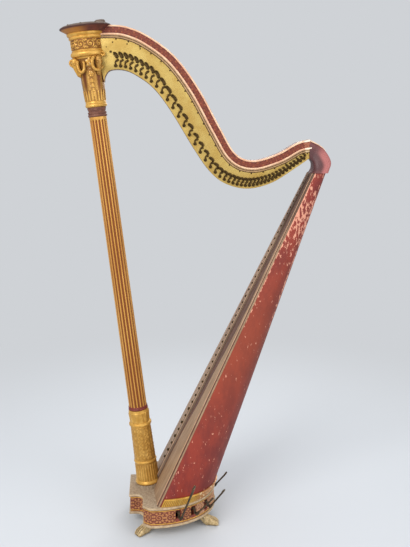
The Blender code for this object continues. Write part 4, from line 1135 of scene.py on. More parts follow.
@dataclass
class Neck(SubAssembly):
    """Swan neck with its bordered edge, the brass action plates, pins, nuts and forks, and the shoulder.

    Its outlines are in the side view: x from the column's foot, and height.
    """

    top_knots: tuple[tuple[float, float], ...] = (
        (-0.150, 1.6600), (-0.100, 1.6635), (-0.043, 1.659), (0.025, 1.632), (0.107, 1.572), (0.181, 1.476),
        (0.250, 1.353), (0.300, 1.272), (0.357, 1.249), (0.435, 1.270), (0.500, 1.305), (0.5412, 1.3145))
    low_knots: tuple[tuple[float, float], ...] = (
        (-0.1135, 1.494), (-0.1105, 1.511), (-0.0950, 1.5285), (-0.055, 1.530), (-0.016, 1.515),
        (0.039, 1.475), (0.093, 1.405), (0.166, 1.286), (0.218, 1.213), (0.269, 1.174), (0.341, 1.158),
        (0.420, 1.177), (0.498, 1.225), (0.5412, 1.255))
    half_t: float = 0.0170
    border_w: float = 0.0390
    border_half_t: float = 0.0240
    plate_t: float = 0.0030
    plate_ease: float = 0.0006           # the plate's edge stands this much behind its face
    gap: float = 0.0003
    strings: int = 43
    first_q: float = 0.0935
    end_in: float = 0.0182
    pitch_loss: float = 0.0000812
    disc_edge: float = 0.0110
    disc_r: float = 0.0055
    disc_t: float = 0.0024
    prong_out: float = 0.0037
    pin_rise_bass: float = 0.0370
    pin_rise_treble: float = 0.0092
    pin_l: float = 0.0140
    collar_w: float = 0.0116             # thickness of a pin's collar in the bass
    collar_loss: float = 0.0042          # how much less it is in the treble
    first_moving: int = 12
    moving: int = 14
    screws: int = 22
    # Screws in the bass end of the plate: X and height in the side view, and size
    extra_screws: tuple[tuple[float, float, float], ...] = (
        (-0.0854, 1.6125, 0.9), (-0.0412, 1.6072, 0.9), (-0.0008, 1.5931, 0.9), (-0.1054, 1.5980, 0.7),
        (-0.0924, 1.5840, 1.5))
    # For some strings, offsets in mm (right, up) from the fork's middle: the pin's collar from its
    # upper end over its crest to its lower end, then the nut's left and right ends
    action_rows: tuple[tuple[float, ...], ...] = (
        (0, -5.5, 39.5, 1.5, 32.5, 6, 22.5, -1.5, 11, 10.0, 19),
        (5, -2, 43, 3.5, 34, 6.6, 22.8, -3.0, 11.3, 9.0, 18.5),
        (8, -3, 47, 4, 36.5, 7.6, 23, 0.7, 12.5, 11, 18.5),
        (10, -5, 41.6, 6.4, 29.6, 10.6, 19.0, 0.7, 11.3, 10.5, 16),
        (15, -4.5, 33, 7, 26, 9.5, 17.5, 1.4, 12.5, 11.3, 13.5),
        (25, -4, 22, 5, 20, 8, 12, 0.5, 7.5, 8.5, 9.5), (30, -3, 19, 3.5, 18, 6, 12, 0, 6, 7, 8.5),
        (42, -2.5, 13, 2.5, 12, 5, 8, 0, 4.5, 5.5, 6))
    bead_in: float = 0.0264              # middle of the border's inner bead, in from the top edge
    bead_out: float = 0.0028             # and of its outer bead
    band_in: float = 0.0236              # the flowered band lies between these
    band_out: float = 0.0054
    flower_pitch: float = 0.0210

    def build(self) -> None:
        """Its pieces, from its wood out."""
        self.body()
        self.border()
        self.plates()
        self.screw_row()
        self.action()
        self.shoulder()

    @property
    def face(self) -> float:
        """From the median plane to a plate's outside."""
        return self.half_t + self.gap + self.plate_t

    def body(self) -> None:
        """The neck's wood, between its two edges, with its lower corners eased by 3 mm."""
        corner = 0.003
        top = moved_sideways(curve_through(self.top_knots, 180), 0.0010)
        low = curve_through(self.low_knots, 180)
        ease = moved_sideways(low, -corner)
        half = ((top, self.half_t), (ease, self.half_t), (low, self.half_t - corner))
        section = ([LAYOUT.side(line, -y) for line, y in half]
                   + [LAYOUT.side(line, y) for line, y in half[::-1]])
        self.shop.put("neck_body", Casting().grid(np.stack(section, axis=1)), NECK_WOOD, replaces=["neck"])

    def border_section(self) -> tuple[Array, list[int]]:
        """Half the border's section, from the brass up to the top edge.

        Returns:
            (distance in from the top edge, half thickness) of each point, and the finish of each
            column's faces: 0 flowered band, 1 bead, 2 tan line, 3 brown line.
        """
        half = self.border_half_t
        stops = [(0.0390, 0.0165, 3), (0.0389, half - 0.0030, 3), (0.0372, half - 0.0022, 2),
                 (0.0336, half - 0.0016, 3), (0.0313, half - 0.0014, 2)]
        stops += [(self.bead_in + 0.0027 * cos(a), half - 0.0008 + 0.0024 * sin(a), 1)
                  for a in np.linspace(0, pi, 7)]
        stops += [(depth, half - 0.0006, 0) for depth in np.linspace(self.band_in, self.band_out, 13)]
        stops += [(self.bead_out + 0.0026 * cos(a), half - 0.0006 + 0.0024 * sin(a), 1)
                  for a in np.linspace(0, radians(150), 6)]
        stops.append((0.0002, half - 0.0022, 1))
        return np.array([stop[:2] for stop in stops]), [stop[2] for stop in stops]

    def flowers(self, run: Array, depth: Array) -> Array:
        """The band's gilding: a waving stem with a flower in each bend.

        Args:
            run: distance along the neck, n x 1.
            depth: distance in from the top edge.
        Returns:
            0 to 1 at each of them.
        """
        v = (depth - (self.band_in + self.band_out) / 2) / ((self.band_in - self.band_out) / 2)
        wave = run / self.flower_pitch * 2 * pi + 1.4 * np.sin(run * 31) + 0.9 * np.sin(run * 73)
        shown = 0.55 * bell(v - 0.42 * np.sin(wave), 0.20)
        for phase, place in ((0.25, -0.50), (0.75, 0.50)):
            u = off_whole(wave / (2 * pi) - phase) * self.flower_pitch / 0.0074
            shown = np.maximum(shown, bell(np.hypot(u * 0.8, (v - place) * 0.9), 0.36))
        return np.clip(shown * (np.abs(v) < 0.96), 0, 1)

    def border(self) -> None:
        """The border that caps the neck: bead, flowered band, bead and painted lines on each face.

        Its section runs down one face, and mirrored up the other, with the top between them.
        """
        top = curve_through(self.top_knots, 620)
        run = run_length(top)[:, None]
        section, slots = self.border_section()
        depth, face = section.T
        line = top[:, None] + normals(top)[:, None] * depth[None, :, None]
        gilding = self.flowers(run, depth)
        face = face + 0.0009 * gilding
        crest = [LAYOUT.side(top, y) + 0.0004 * Z_AXIS for y in (-0.0160, 0.0, 0.0160)]
        rows = np.concatenate([LAYOUT.side(line, -face), np.stack(crest, axis=1),
                               LAYOUT.side(line, face)[:, ::-1]], axis=1)
        tone = np.concatenate([gilding, np.zeros((len(top), len(crest))), gilding[:, ::-1]], axis=1)
        finishes = slots + [4] * len(crest) + slots[::-1][1:] + [3]
        cast = Casting().grid(rows, gilding=tone * 0.45, wear=smooth(-0.0230, -0.0190, run - run[-1]),
                              slot=np.array(finishes))
        self.shop.put("neck_border", cast, [BAND_RED, CREAM_BEAD, LINE_TAN, LINE_BROWN, NECK_WOOD], sharp=50)

    def string_line(self, k: Array) -> Array:
        """Where each string's line, parallel to the column, would meet the floor."""
        last = self.low_knots[-1][0] + tan(LAYOUT.lean) * self.low_knots[-1][1] - self.end_in
        pitch = (last - self.first_q) / (self.strings - 1) + self.pitch_loss * (self.strings - 2) / 2
        return self.first_q + pitch * k - self.pitch_loss * k * (k - 1) / 2

    def forks(self) -> Array:
        """Each string's fork in the side view: its line's meeting with a row over the lower edge."""
        row = moved_sideways(curve_through(self.low_knots, 400), -self.disc_edge)
        q = row[:, 0] + tan(LAYOUT.lean) * row[:, 1]
        goal = self.string_line(np.arange(self.strings))
        return coords(np.interp(goal, q, row[:, 0]), np.interp(goal, q, row[:, 1]))

    def plates(self) -> None:
        """Brass plate on each face, from the border's inner line to just inside the lower edge."""
        top = moved_sideways(curve_through(self.top_knots, 200), self.border_w + self.gap)
        low = moved_sideways(curve_through(self.low_knots, 200), -self.gap)
        end = self.low_knots[-1][0] - 0.0008
        for line in (top, low):
            line[:, 0] = np.minimum(line[:, 0], end)
        across = np.linspace(0, 1, 6)[None, :, None]
        outer = blend(top[:, None], low[:, None], across)
        eased = blend(top[:, None], low[:, None], 0.015 + 0.97 * across)
        for name, side in (("left", -1), ("right", 1)):
            front = LAYOUT.side(eased, side * self.face)
            edge = LAYOUT.side(outer, side * (self.face - self.plate_ease))
            back = LAYOUT.side(outer, side * (self.half_t + self.gap - SINK))
            ring = np.concatenate([front, edge[:, -1:], back[:, ::-1], edge[:, :1]], axis=1)
            self.shop.put("brass_plate_" + name, Casting().grid(ring), PLATE_BRASS,
                          replaces=["action_plate_" + name], sharp=30)

    def screw_row(self) -> None:
        """Round-headed screws along each plate's upper edge, and a few in its bass end."""
        edge = moved_sideways(curve_through(self.top_knots, 400), self.border_w + 0.0024)
        line = resampled(edge[34:-6], self.screws)
        extra = np.array(self.extra_screws)
        spots = np.concatenate([line, extra[:, :2]])
        sizes = np.concatenate([np.ones(len(line)), extra[:, 2]])
        head = stud(((-0.001, 0.0025), (0.0004, 0.0026), (0.0009, 0.0021), (0.0012, 0.0010)), 10)
        for name, side in (("left", -1), ("right", 1)):
            places = facing(LAYOUT.side(spots, side * self.face), side * Y_AXIS, X_AXIS, sizes)
            self.shop.put("plate_screws_" + name, Casting().copies(head, places), BROWNED_IRON)

    def action(self) -> None:
        """Tuning pins in their long collars, string nuts, and the fork discs with two prongs each."""
        forks = self.forks()
        k = np.arange(self.strings)
        rows = np.array(self.action_rows)
        marks = coords(*(np.interp(k, rows[:, 0], column) for column in rows[:, 1:].T))
        marks = marks.reshape(-1, 5, 2) / 1000
        self.tuning_pins(forks, marks)
        self.nuts(forks, marks)
        disc = stud(((-0.0008, 0.0048), (0.0016, self.disc_r), (0.0022, 0.0052), (self.disc_t, 0.0044),
                     (self.disc_t, 0.0016), (self.disc_t + 0.0006, 0.0013), (self.disc_t + 0.0007, 0.0003)),
                     20)
        prong = stud(((0.0018, 0.0012), (0.0064, 0.0011), (0.0072, 0.0008), (0.0075, 0.0003)), 8)
        places = facing(LAYOUT.side(forks, -self.face), -Y_AXIS, X_AXIS)

        def fork(which: Array) -> Casting:
            """Discs and prongs of some of the forks."""
            cast = Casting().copies(disc, places[which])
            for side in (-1, 1):
                shifted = places[which]
                shifted[:, :3, 3] += shifted[:, :3, 0] * side * self.prong_out
                cast.copies(prong, shifted)
            return cast

        for j in range(self.first_moving, self.first_moving + self.moving):
            name = "fork_%02d" % (j + 1)
            self.shop.put(name + "_dressed", fork(k == j), BROWNED_IRON, body=name + "_body", replaces=[name])
        self.shop.put("fork_discs", fork(~np.isin(k, self.first_moving + np.arange(self.moving))),
                      BROWNED_IRON)

    def tuning_pins(self, forks: Array, marks: Array) -> None:
        """Each pin stands at the upper end of a long arched collar, and its square shows on the right.

        Args:
            forks: each string's fork in the side view.
            marks: for each string five offsets from there, three of them along the collar.
        """
        pin = stud(((-0.001, 0.0026), (0.0090, 0.0024), (0.0092, 0.0021), (0.0100, 0.0021), (0.0102, 0.0024),
                    (self.pin_l - 0.0008, 0.0022), (self.pin_l, 0.0015)), 12)
        heads = forks + blend(marks[:, 0], marks[:, 1], 0.15)
        cast = Casting().copies(pin, facing(LAYOUT.side(heads, -self.face), -Y_AXIS, X_AXIS))
        section = round_section(1.0, 0.62, 10, 2.6)
        ends = np.sqrt(np.clip(1 - np.linspace(-1, 1, 13) ** 6, 0.10, 1))
        share = np.arange(self.strings) / (self.strings - 1)
        for fork, mark, late in zip(forks, marks, share):
            line = resampled(curve_through(mark[:3] + fork, 13), 13)
            thick = self.collar_w - self.collar_loss * late
            cast.grid(swept(LAYOUT.side(line, -self.face - 0.0016), section, -Y_AXIS, ends * thick))
        self.shop.put("tuning_pins", cast, BROWNED_IRON)
        plan = round_section(0.0050, 0.0050, 12, 9.0)
        square = np.stack([coords(plan[:, 0] * size, plan[:, 1] * size, z) for z, size in (
            (-0.0010, 0.7823), (-0.0004, 1.0), (self.pin_l - 0.0006, 1.0), (self.pin_l, 0.7823))])
        rise = blend(self.pin_rise_bass, self.pin_rise_treble, share)
        pins = forks + coords(-sin(LAYOUT.lean) * rise, cos(LAYOUT.lean) * rise)
        back = facing(LAYOUT.side(pins, self.face), Y_AXIS, np.array([1.0, 0, 0.35]))
        self.shop.put("pin_squares", Casting().copies(square, back), BROWNED_IRON)

    def nuts(self, forks: Array, marks: Array) -> None:
        """String nuts: each a stem over its disc that turns out to the right under the collar."""
        cast = Casting()
        stem, bar = round_section(0.0050, 0.0036, 8, 3.0), round_section(0.0068, 0.0040, 8, 3.0)
        size = np.array([0.62, 0.92, 1, 1, 1, 1, 1, 0.92, 0.62])
        for fork, (left, right) in zip(forks, marks[:, 3:]):
            foot = np.array([[-0.0002, 0.0038], left * 0.5 + (-0.0003, 0.0019), left])
            over = np.array([left, (left + right) / 2 + (0.0, 0.0009), right])
            for knots, section in ((foot, stem), (over, bar)):
                line = curve_through(knots + fork, len(size))
                cast.grid(swept(LAYOUT.side(line, -self.face - 0.0016), section, -Y_AXIS, size))
        self.shop.put("string_nuts", cast, BROWNED_IRON)

    def shoulder(self) -> None:
        """Shoulder block: rounded squares lofted between its inner and outer edges, painted shade on the
        inner side and a painted pink highlight with wear on the outer side, with its cream bead.
        """
        inner = curve_through(((0.5475, 1.2083), (0.5535, 1.222), (0.5520, 1.240), (0.5405, 1.2555)), 40)
        outer = curve_through(((0.6030, 1.2083), (0.6120, 1.246), (0.5850, 1.288), (0.5405, 1.3135)), 40)
        share = np.linspace(0, 1, 40)[:, None]
        wide = blend(LAYOUT.top_half_w, self.border_half_t + 0.0006, np.minimum(1, share * 1.25))
        c, s = squared(turns(48), 4.6)
        place = ((inner + outer) / 2)[:, None] + ((outer - inner) / 2)[:, None] * c[None, :, None]
        # painted shade on the inner side; on the outer side a painted pink highlight with some wear
        shaded_side = smooth(-0.25, 0.55, -c) * smooth(0.0, 0.25, share)
        outward = smooth(-0.15, 0.30, c) * smooth(0.80, 0.50, share)
        cast = Casting().grid(LAYOUT.side(place, wide * s), hollow=shaded_side * 0.6, gilding=outward,
                              wear=0.35 * outward)
        self.shop.put("shoulder_block", cast, SHOULDER_RED, replaces=["shoulder"])
        ridge = moved_sideways(outer[:21:-1], 0.0005)
        t = np.linspace(0, 1, len(ridge))
        bead = Casting()
        for side in (-1, 1):
            path = LAYOUT.side(ridge, side * (self.border_half_t - 0.0030 + 0.0040 * t))
            bead.grid(swept(path, round_section(2, 2, 8), -Y_AXIS, 0.0021 - 0.0014 * t))
        self.shop.put("shoulder_bead", bead, CREAM_BEAD)


@dataclass
class Soundbox(SubAssembly):
    """Half-round shell with sound holes, its gilt foot band, the bellied board, and the string rib."""

    wall: float = 0.0070
    gap: float = 0.0003
    hole_heights: tuple[float, ...] = (0.27, 0.47, 0.66, 0.84, 1.00)
    hole_l: float = 0.0900
    hole_w: float = 0.0360
    rib_low: float = 0.0170
    rib_high: float = 0.0090
    rib_t_low: float = 0.0070
    rib_t_high: float = 0.0040
    gadroons: int = 92
    # The foot band's section: height over the base's top, and how far it stands out
    band_profile: Profile = (
        (0.0003, 0.0004), (0.0003, 0.0030), (0.0022, 0.0036), (0.0040, 0.0036), (0.0120, 0.0036),
        (0.0190, 0.0036), (0.0208, 0.0030), (0.0212, 0.0044), (0.0222, 0.0056), (0.0240, 0.0060),
        (0.0256, 0.0054), (0.0264, 0.0040), (0.0266, 0.0004))
    # The rib's section: shares of its half width and of its thickness
    rib_section: Profile = ((-1, -0.3), (-1, 0.7), (-0.9, 0.95), (0, 1.0), (0.9, 0.95), (1, 0.7), (1, -0.3))
    # The dark band beside the rib, partly a stain and partly painted shadow of the rib's side: its outer edge
    # as a share of the half width, at some heights
    dark_edge: Profile = (
        (0.113, 0.18), (0.243, 0.20), (0.332, 0.24), (0.424, 0.40), (0.532, 0.45), (0.675, 0.63),
        (0.780, 0.71), (0.883, 0.67), (1.208, 0.60))

    def build(self) -> None:
        """Its pieces, from the shell to the rib."""
        self.shell()
        self.band()
        self.board()
        self.rib()

    def levels(self, count: int) -> Array:
        """Evenly spaced levels from the base's top to the soundbox's top, as a column."""
        return np.linspace(LAYOUT.base_top_z + self.gap, LAYOUT.shell_top_z - self.gap, count)[:, None]

    def hole_edges(self, y: Array, level: Array) -> tuple[Array, Array]:
        """Signed distances to the sound holes' outlines.

        Args:
            y: points across the shell.
            level: their heights.
        Returns:
            The distance of each point, negative inside a hole, and the move (y, up the back) that
            brings a point beside an outline onto it.
        """
        mark = np.full(level.shape, 1.0)
        shift = np.zeros(level.shape + (2,))
        for height in self.hole_heights:
            wide = self.hole_w / 2 * (0.45 + 0.55 * LAYOUT.half_width(height) / LAYOUT.half_w)
            up = (level - height) / cos(atan2(LAYOUT.back_slope, 1))
            past = np.sign(up) * np.maximum(np.abs(up) - (self.hole_l / 2 - wide), 0)
            away = np.hypot(y, past)
            off = away - wide
            aim = coords(y, past) / np.maximum(away, 1e-9)[..., None]
            shift = np.where((np.abs(off) < 0.0042)[..., None], -off[..., None] * aim, shift)
            mark = np.minimum(mark, off)
        return mark, shift

    def shell(self) -> None:
        """The shell: half ellipses from front edge to front edge, with long round-ended holes in the back,
        and painted shade darkening the back.

        Each hole opens the quads inside distance < 0 of its outline, and the points beside it are
        moved onto the outline.
        """
        z = self.levels(300)
        t = np.linspace(0, 1, 97)
        y, level = np.broadcast_arrays(-LAYOUT.half_width(z) * np.cos(pi * t), z)
        behind = np.sin(pi * t) > 0.5
        mark, shift = self.hole_edges(y, level)
        shift = shift * behind[:, None]
        mark = np.where(behind, mark, 1.0)
        y = y + shift[..., 0]
        level = level + shift[..., 1] * cos(atan2(LAYOUT.back_slope, 1))
        windows = (mark[:-1, :-1] + mark[1:, :-1] + mark[:-1, 1:] + mark[1:, 1:]) / 4 < 0

        def skin(inset: float) -> Array:
            """The half ellipse brought in by inset, at the moved levels."""
            base = LAYOUT.behind_board(level, self.gap)
            across = np.clip(y / LAYOUT.half_width(level), -1, 1)
            deep = LAYOUT.back_x(level) - base - inset
            return LAYOUT.at(base + deep * dome(across), across * (LAYOUT.half_width(level) - inset), level)

        edge = np.minimum(t, 1 - t) * pi * LAYOUT.half_width(z)
        share = LAYOUT.share_up(z)
        wear = (0.08 + 0.52 * bell(share - 0.87, 0.10) + 0.62 * smooth(0.50, 0.60, share) * bell(edge, 0.0034)
                + 0.75 * bell(t - 0.345, 0.022) * bell(share - 0.66, 0.12)
                + 0.50 * bell(share - 0.10, 0.018) * bell(edge - 0.004, 0.006))
        # painted shade: the shell's back, turned from the lamps, is darkened by up to 0.30
        dark = 0.30 * smooth(0.16, 0.36, t) * smooth(0.84, 0.64, t)
        cast = Casting().walled(skin(0.0), skin(self.wall), windows, wear=wear, hollow=dark,
                                gilding=bell(share - 0.5, 0.25) * 0.5)
        self.shop.put("red_shell", cast, SHELL_RED, replaces=["soundbox_shell"], sharp=50)

    def band(self) -> None:
        """Gilt band round the shell's foot: upright gadroons, |sin| round it, under a bright bead."""
        t = np.linspace(0, 1, self.gadroons * 8 + 1)[:, None]
        up, out = np.array(self.band_profile).T
        ripple = np.abs(np.sin(t * self.gadroons * pi)) ** 0.7
        carved = (up > 0.002) & (up < 0.0205)
        grow = out + carved * 0.0013 * (ripple - 1)
        z = LAYOUT.base_top_z + up
        front = LAYOUT.behind_board(z, self.gap) + 0.004
        points = LAYOUT.at(front + (LAYOUT.back_x(z) - front + grow) * np.sin(pi * t),
                           -(LAYOUT.half_width(z) + grow) * np.cos(pi * t), z)
        pink = smooth(0.17, 0.27, t) * smooth(0.75, 0.65, t)
        cast = Casting().grid(points, hollow=carved * (1 - ripple) * 0.8 * (1 - 0.5 * pink), wear=0.5 * pink,
                              gilding=0.85 * pink)
        self.shop.put("gadrooned_band", cast, PLAIN_GILT, replaces=["soundbox_band"], sharp=50)

    def board_face(self, side: Array, z: Array, proud: float | Array) -> Array:
        """Points of the board's front: side is -1 to 1 across it, proud is forward of its face."""
        x = LAYOUT.board_x(z) - LAYOUT.belly(z) * (1 - side ** 2) - proud / LAYOUT.slant
        return LAYOUT.at(x, side * LAYOUT.half_width(z), z)

    def board(self) -> None:
        """Bellied board with bindings, a pale line beside them, and a dark band beside the rib, partly a
        stain and partly painted shadow of the rib.
        """
        z = self.levels(120)
        share, half = LAYOUT.share_up(z), LAYOUT.half_width(z)
        side = np.linspace(-1, 1, 41)
        ring = [self.board_face(side, z, 0.0), self.board_face(side, z, -LAYOUT.board_t)[:, ::-1]]
        # the board darkens towards its top
        cast = Casting().grid(np.concatenate(ring, axis=1), hollow=0.85 * smooth(0.78, 0.88, share))
        self.shop.put("bellied_board", cast, BOARD_WOOD, replaces=["soundboard"])
        inner = 1 - (0.0140 - 0.0080 * share) / half
        rib = (blend(self.rib_low, self.rib_high, share) + 0.0012) / half
        # outer edge of the dark band, partly a stain and partly painted shadow of the rib
        dark = np.interp(z, *np.array(self.dark_edge).T)
        for name, low, high, proud, finish in (
                ("edge_binding", inner, 0.999, 0.0007, BINDING_DARK),
                ("edge_line", inner - 0.0062 / half, inner - 0.0010 / half, 0.0006, LINE_PALE),
                ("board_stain_and_rib_shadow", rib, dark, 0.0005, BINDING_DARK)):
            cast = Casting()
            for sign in (-1, 1):
                self.strip(cast, z, sign * low, sign * high, proud)
            self.shop.put(name, cast, finish)

    def strip(self, cast: Casting, z: Array, low: Array, high: Array | float, proud: float) -> None:
        """A thin strip up the board between two shares of its half width, given at each level."""
        across = blend(low, high, np.linspace(0, 1, 6))
        over = self.board_face(across, z, np.array([0.3, 1.0, 1.0, 1.0, 1.0, 0.3]) * proud)
        under = self.board_face(across, z, -SINK)
        cast.grid(np.concatenate([over, under[:, ::-1]], axis=1))

    def string_hole(self, k: Array, neck: Neck) -> Array:
        """Height of each string's hole: its line's meeting with the rib's foot, by repeated correction."""
        lean = tan(LAYOUT.lean)
        z = np.full(k.shape, LAYOUT.base_top_z)
        for _ in range(30):
            z = z + (neck.string_line(k) - lean * z - LAYOUT.seat_x(z)) / (LAYOUT.board_slope + lean)
        return z

    def rib(self) -> None:
        """String rib down the board's middle with a painted highlight and worn edge along its arrises, and a
        peg in each of its holes.
        """
        neck = Neck(self.shop)
        z = self.levels(100)
        share, seat = LAYOUT.share_up(z), LAYOUT.seat_x(z)
        half = blend(self.rib_low, self.rib_high, share)
        thick = blend(self.rib_t_low, self.rib_t_high, share)
        across, up = np.array(self.rib_section).T
        x = seat - (self.gap + thick * np.clip(up, 0, 1) - 0.0006 * (up < 0)) / LAYOUT.slant
        # the rib and its arrises darken towards their top
        cast = Casting().grid(LAYOUT.at(x, half * across, z), hollow=0.75 * smooth(0.78, 0.88, share))
        self.shop.put("string_rib_dressed", cast, RIB_WOOD, replaces=["string_rib"])
        # painted highlight and worn edge: pale strips along the rib's two arrises
        out, up = np.array(((-1.2, -1.0), (-1.2, 0.5), (-0.4, 1.0), (0.6, 1.0), (1.1, 0.5), (1.1, -1.0))).T
        x = seat - (self.gap + thick * 0.97 + up * 0.0006) / LAYOUT.slant
        cast = Casting()
        for sign in (-1, 1):
            y = sign * (half - 0.0024 + out * 0.0016)
            cast.grid(LAYOUT.at(x, y, z), hollow=0.85 * smooth(0.76, 0.88, share))
        self.shop.put("rib_arris_highlight", cast, LINE_PALE)
        k = np.arange(neck.strings)
        z = self.string_hole(k, neck)
        share = LAYOUT.share_up(z)
        spots = LAYOUT.at(LAYOUT.seat_x(z) - blend(self.rib_t_low, self.rib_t_high, share) / LAYOUT.slant,
                          0.0, z)
        away = np.array([-LAYOUT.slant, 0, sin(atan2(LAYOUT.board_slope, 1))])
        peg = stud(((-0.0020, 0.0024), (0.0004, 0.0032), (0.0020, 0.0036), (0.0036, 0.0031),
                    (0.0042, 0.0014)), 12)
        size = 1.40 - 0.6 * share + 0.25 * ((k % 2 == 1) & (k < 8))
        self.shop.put("string_pegs", Casting().copies(peg, facing(spots, away, Y_AXIS, size)), BROWNED_IRON)


@dataclass
class Base(SubAssembly):
    """Hollow base between two boards, its painted ornament, and the lion's paws."""

    paw_h: float = 0.0400
    plate_t: float = 0.0080
    wall_h: float = 0.0560
    top_t: float = 0.0090
    wall_t: float = 0.0140
    plate_margin: float = 0.0040
    top_margin: float = 0.0050
    nose_l: float = 0.0600
    nose_half: float = 0.0700
    notch_x: float = -0.0120
    notch_r: float = 0.0260
    cheek_y: float = 0.1500
    cant_x: float = 0.0120
    half_w: float = 0.1680
    round_x: float = 0.0340
    back_x: float = 0.2320
    slot_angles: tuple[float, ...] = (-57, -41, -25, 11, 27, 43, 59)
    middle_x: float = 0.0600             # a point inside the plan, to tell its outside from its inside
    lip: float = 0.0030                  # how far a board's rounded edge is drawn in
    fillet_in: float = 0.0045            # from each board to the middle of the wall's fillet
    panel_h: float = 0.0430
    panel_clear: float = 0.0095          # from a slot's middle to the panels beside it
    scroll_l: float = 0.0360             # a panel is about this long
    worn_panels: tuple[float, float] = (-48, 30)  # directions, in degrees, between which the paint is worn
    # A paw's rings along X: place, half width, sole and top
    paw_rings: tuple[tuple[float, ...], ...] = (
        (-0.030, 0.0130, 0.0290, 0.0396), (-0.018, 0.0150, 0.0200, 0.0396), (-0.008, 0.0150, 0.0060, 0.0396),
        (0.000, 0.0150, 0.0, 0.0390), (0.010, 0.0150, 0.0, 0.0340), (0.020, 0.0160, 0.0, 0.0285),
        (0.030, 0.0165, 0.0, 0.0240), (0.036, 0.0160, 0.0, 0.0195), (0.0405, 0.0140, 0.0015, 0.0130),
        (0.0425, 0.0110, 0.0035, 0.0090))
    claws: tuple[float, ...] = (-0.0120, -0.0042, 0.0042, 0.0120)

    def build(self) -> None:
        """Its pieces, from its boards to its paws."""
        self.boards()
        self.wall()
        self.paws()

    def outline(self, margin: float, count: int = 0) -> Array:
        """Plan of the base: nose, re-entrant corners, canted corners and half-round back.

        Args:
            margin: how far outside the wall it runs.
            count: evenly spaced points wanted, or 0 for the corners and arcs alone.
        Returns:
            A closed outline of (x, y), x from the column's foot.
        """
        front, side, step = -self.nose_l - margin, self.nose_half + margin, self.notch_x - margin
        depth, width = self.back_x - self.round_x + margin, self.half_w + margin
        turn = np.linspace(0, pi / 2, 12)
        notch = coords(step + self.notch_r * (np.sin(turn) - 1), side + self.notch_r * (1 - np.cos(turn)))
        turn = np.linspace(0, pi / 2, 40)
        back = coords(self.round_x + depth * np.sin(turn), width * np.cos(turn))
        cant = [(step, self.cheek_y + margin / 2), (self.cant_x - margin / 2, width)]
        half = np.concatenate([[(front, side)], notch, cant, back])
        whole = np.concatenate([half, (half * (1, -1))[::-1][1:]])
        return resampled(np.concatenate([whole, whole[:1]]), count + 1)[:-1] if count else whole

    def outward(self, line: Array, along: Array) -> Array:
        """Unit vectors square to a plan's line, on its outside."""
        out = coords(along[:, 1], -along[:, 0])
        flip = np.sum(out * (line - (self.middle_x, 0.0)), axis=1, keepdims=True) < 0
        return np.where(flip, -out, out)

    def moulded(self, margin: float, low: float, high: float) -> Array:
        """A board with a half-round edge: the outline at several levels, drawn in at the top and foot."""
        middle, half = (low + high) / 2, (high - low) / 2
        return np.stack([LAYOUT.plan(self.outline(margin - self.lip * (1 - cos(a))), middle + half * sin(a))
                         for a in np.linspace(-pi / 2, pi / 2, 9)])

    def boards(self) -> None:
        """Bottom board's worn edge, and the top board with its bullnose and gritty face."""
        self.shop.dress("base_plate", EDGE_CREAM)
        low, proud = self.paw_h, 0.0002
        points = self.moulded(self.plate_margin + 0.0012, low - proud, low + self.plate_t + proud)
        self.shop.put("plate_edge", Casting().grid(points), EDGE_CREAM, sharp=60)
        low += self.plate_t + self.wall_h
        points = self.moulded(self.top_margin, low, low + self.top_t)
        self.shop.put("top_board_edge", Casting().grid(points[:-1], slot=1), [BASE_TOP, EDGE_CREAM],
                      replaces=["base_top"], sharp=60)
        face = np.stack([points[-2], points[-1] + 0.0003 * Z_AXIS])
        self.shop.put("top_board_face", Casting().grid(face), BASE_TOP, sharp=60)

    def wall(self) -> None:
        """The wall keeps its slots; gilt scroll panels stand on it between a low and a high fillet."""
        self.shop.dress("base_wall", BASE_WALL)
        outline = self.outline(0.0, 900)
        normal = self.outward(outline, unit(np.roll(outline, -1, axis=0) - np.roll(outline, 1, axis=0)))
        foot, top = self.paw_h + self.plate_t, self.paw_h + self.plate_t + self.wall_h
        cast = Casting()
        for level in (foot + self.fillet_in, top - self.fillet_in):
            section = ((-0.0016, -SINK), (-0.0014, 0.0007), (0.0, 0.0013), (0.0014, 0.0007), (0.0016, -SINK))
            cast.grid(np.stack([LAYOUT.plan(outline + normal * out, level + up) for up, out in section],
                               axis=1), along=True)
        self.shop.put("wall_fillets", cast, CARVED_GILT)
        self.scroll_panels(np.concatenate([outline, outline[:1]]), (foot + top) / 2)

    def scroll_panels(self, closed: Array, middle: float) -> None:
        """Carved panels along the wall between the pedals' slots: acanthus scrolls, left and right by turns.

        Each has a one-armed spiral, leaf tips cos^2(4.5 phi) round it and a bud in each corner.

        Args:
            closed: the wall's plan, closed.
            middle: the height of the panels' middle.
        """
        run = run_length(closed)
        angles = np.arctan2(closed[:, 1], closed[:, 0])
        slots = sorted(float(run[np.argmin(np.abs(angles - radians(a)))]) for a in self.slot_angles)
        cast = Casting()
        v = (np.linspace(-0.5, 0.5, 36) * self.panel_h)[:, None]
        for first, last in zip(slots, slots[1:] + [slots[0] + run[-1]]):
            first, last = first + self.panel_clear, last - self.panel_clear
            marks = np.linspace(first, last, max(round((last - first) / self.scroll_l), 1) + 1)
            for k, (a, b) in enumerate(zip(marks, marks[1:])):
                place = np.linspace(a, b, 32)
                line = coords(*(np.interp(place % run[-1], run, closed[:, c]) for c in (0, 1)))
                out = self.outward(line, unit(np.gradient(line, axis=0)))
                shown = self.acanthus((place - (a + b) / 2) * (-1) ** k, v, (b - a) / 2)
                proud = (0.0003 + 0.0017 * shown)[..., None]
                front, back = (LAYOUT.plan(line + out * d, middle + v) for d in (proud, -0.0012))
                x, y = line[len(line) // 2]
                worn = 0.75 * (self.worn_panels[0] < degrees(atan2(y, x)) < self.worn_panels[1])
                tone = np.concatenate([shown, 0 * shown], axis=1)
                hollow = np.concatenate([(1 - shown) * 0.45, 0 * shown], axis=1)
                cast.grid(np.concatenate([front, back[:, ::-1]], axis=1), gilding=tone * 0.8, hollow=hollow,
                          wear=worn)
        self.shop.put("scroll_panels", cast, BASE_WALL)

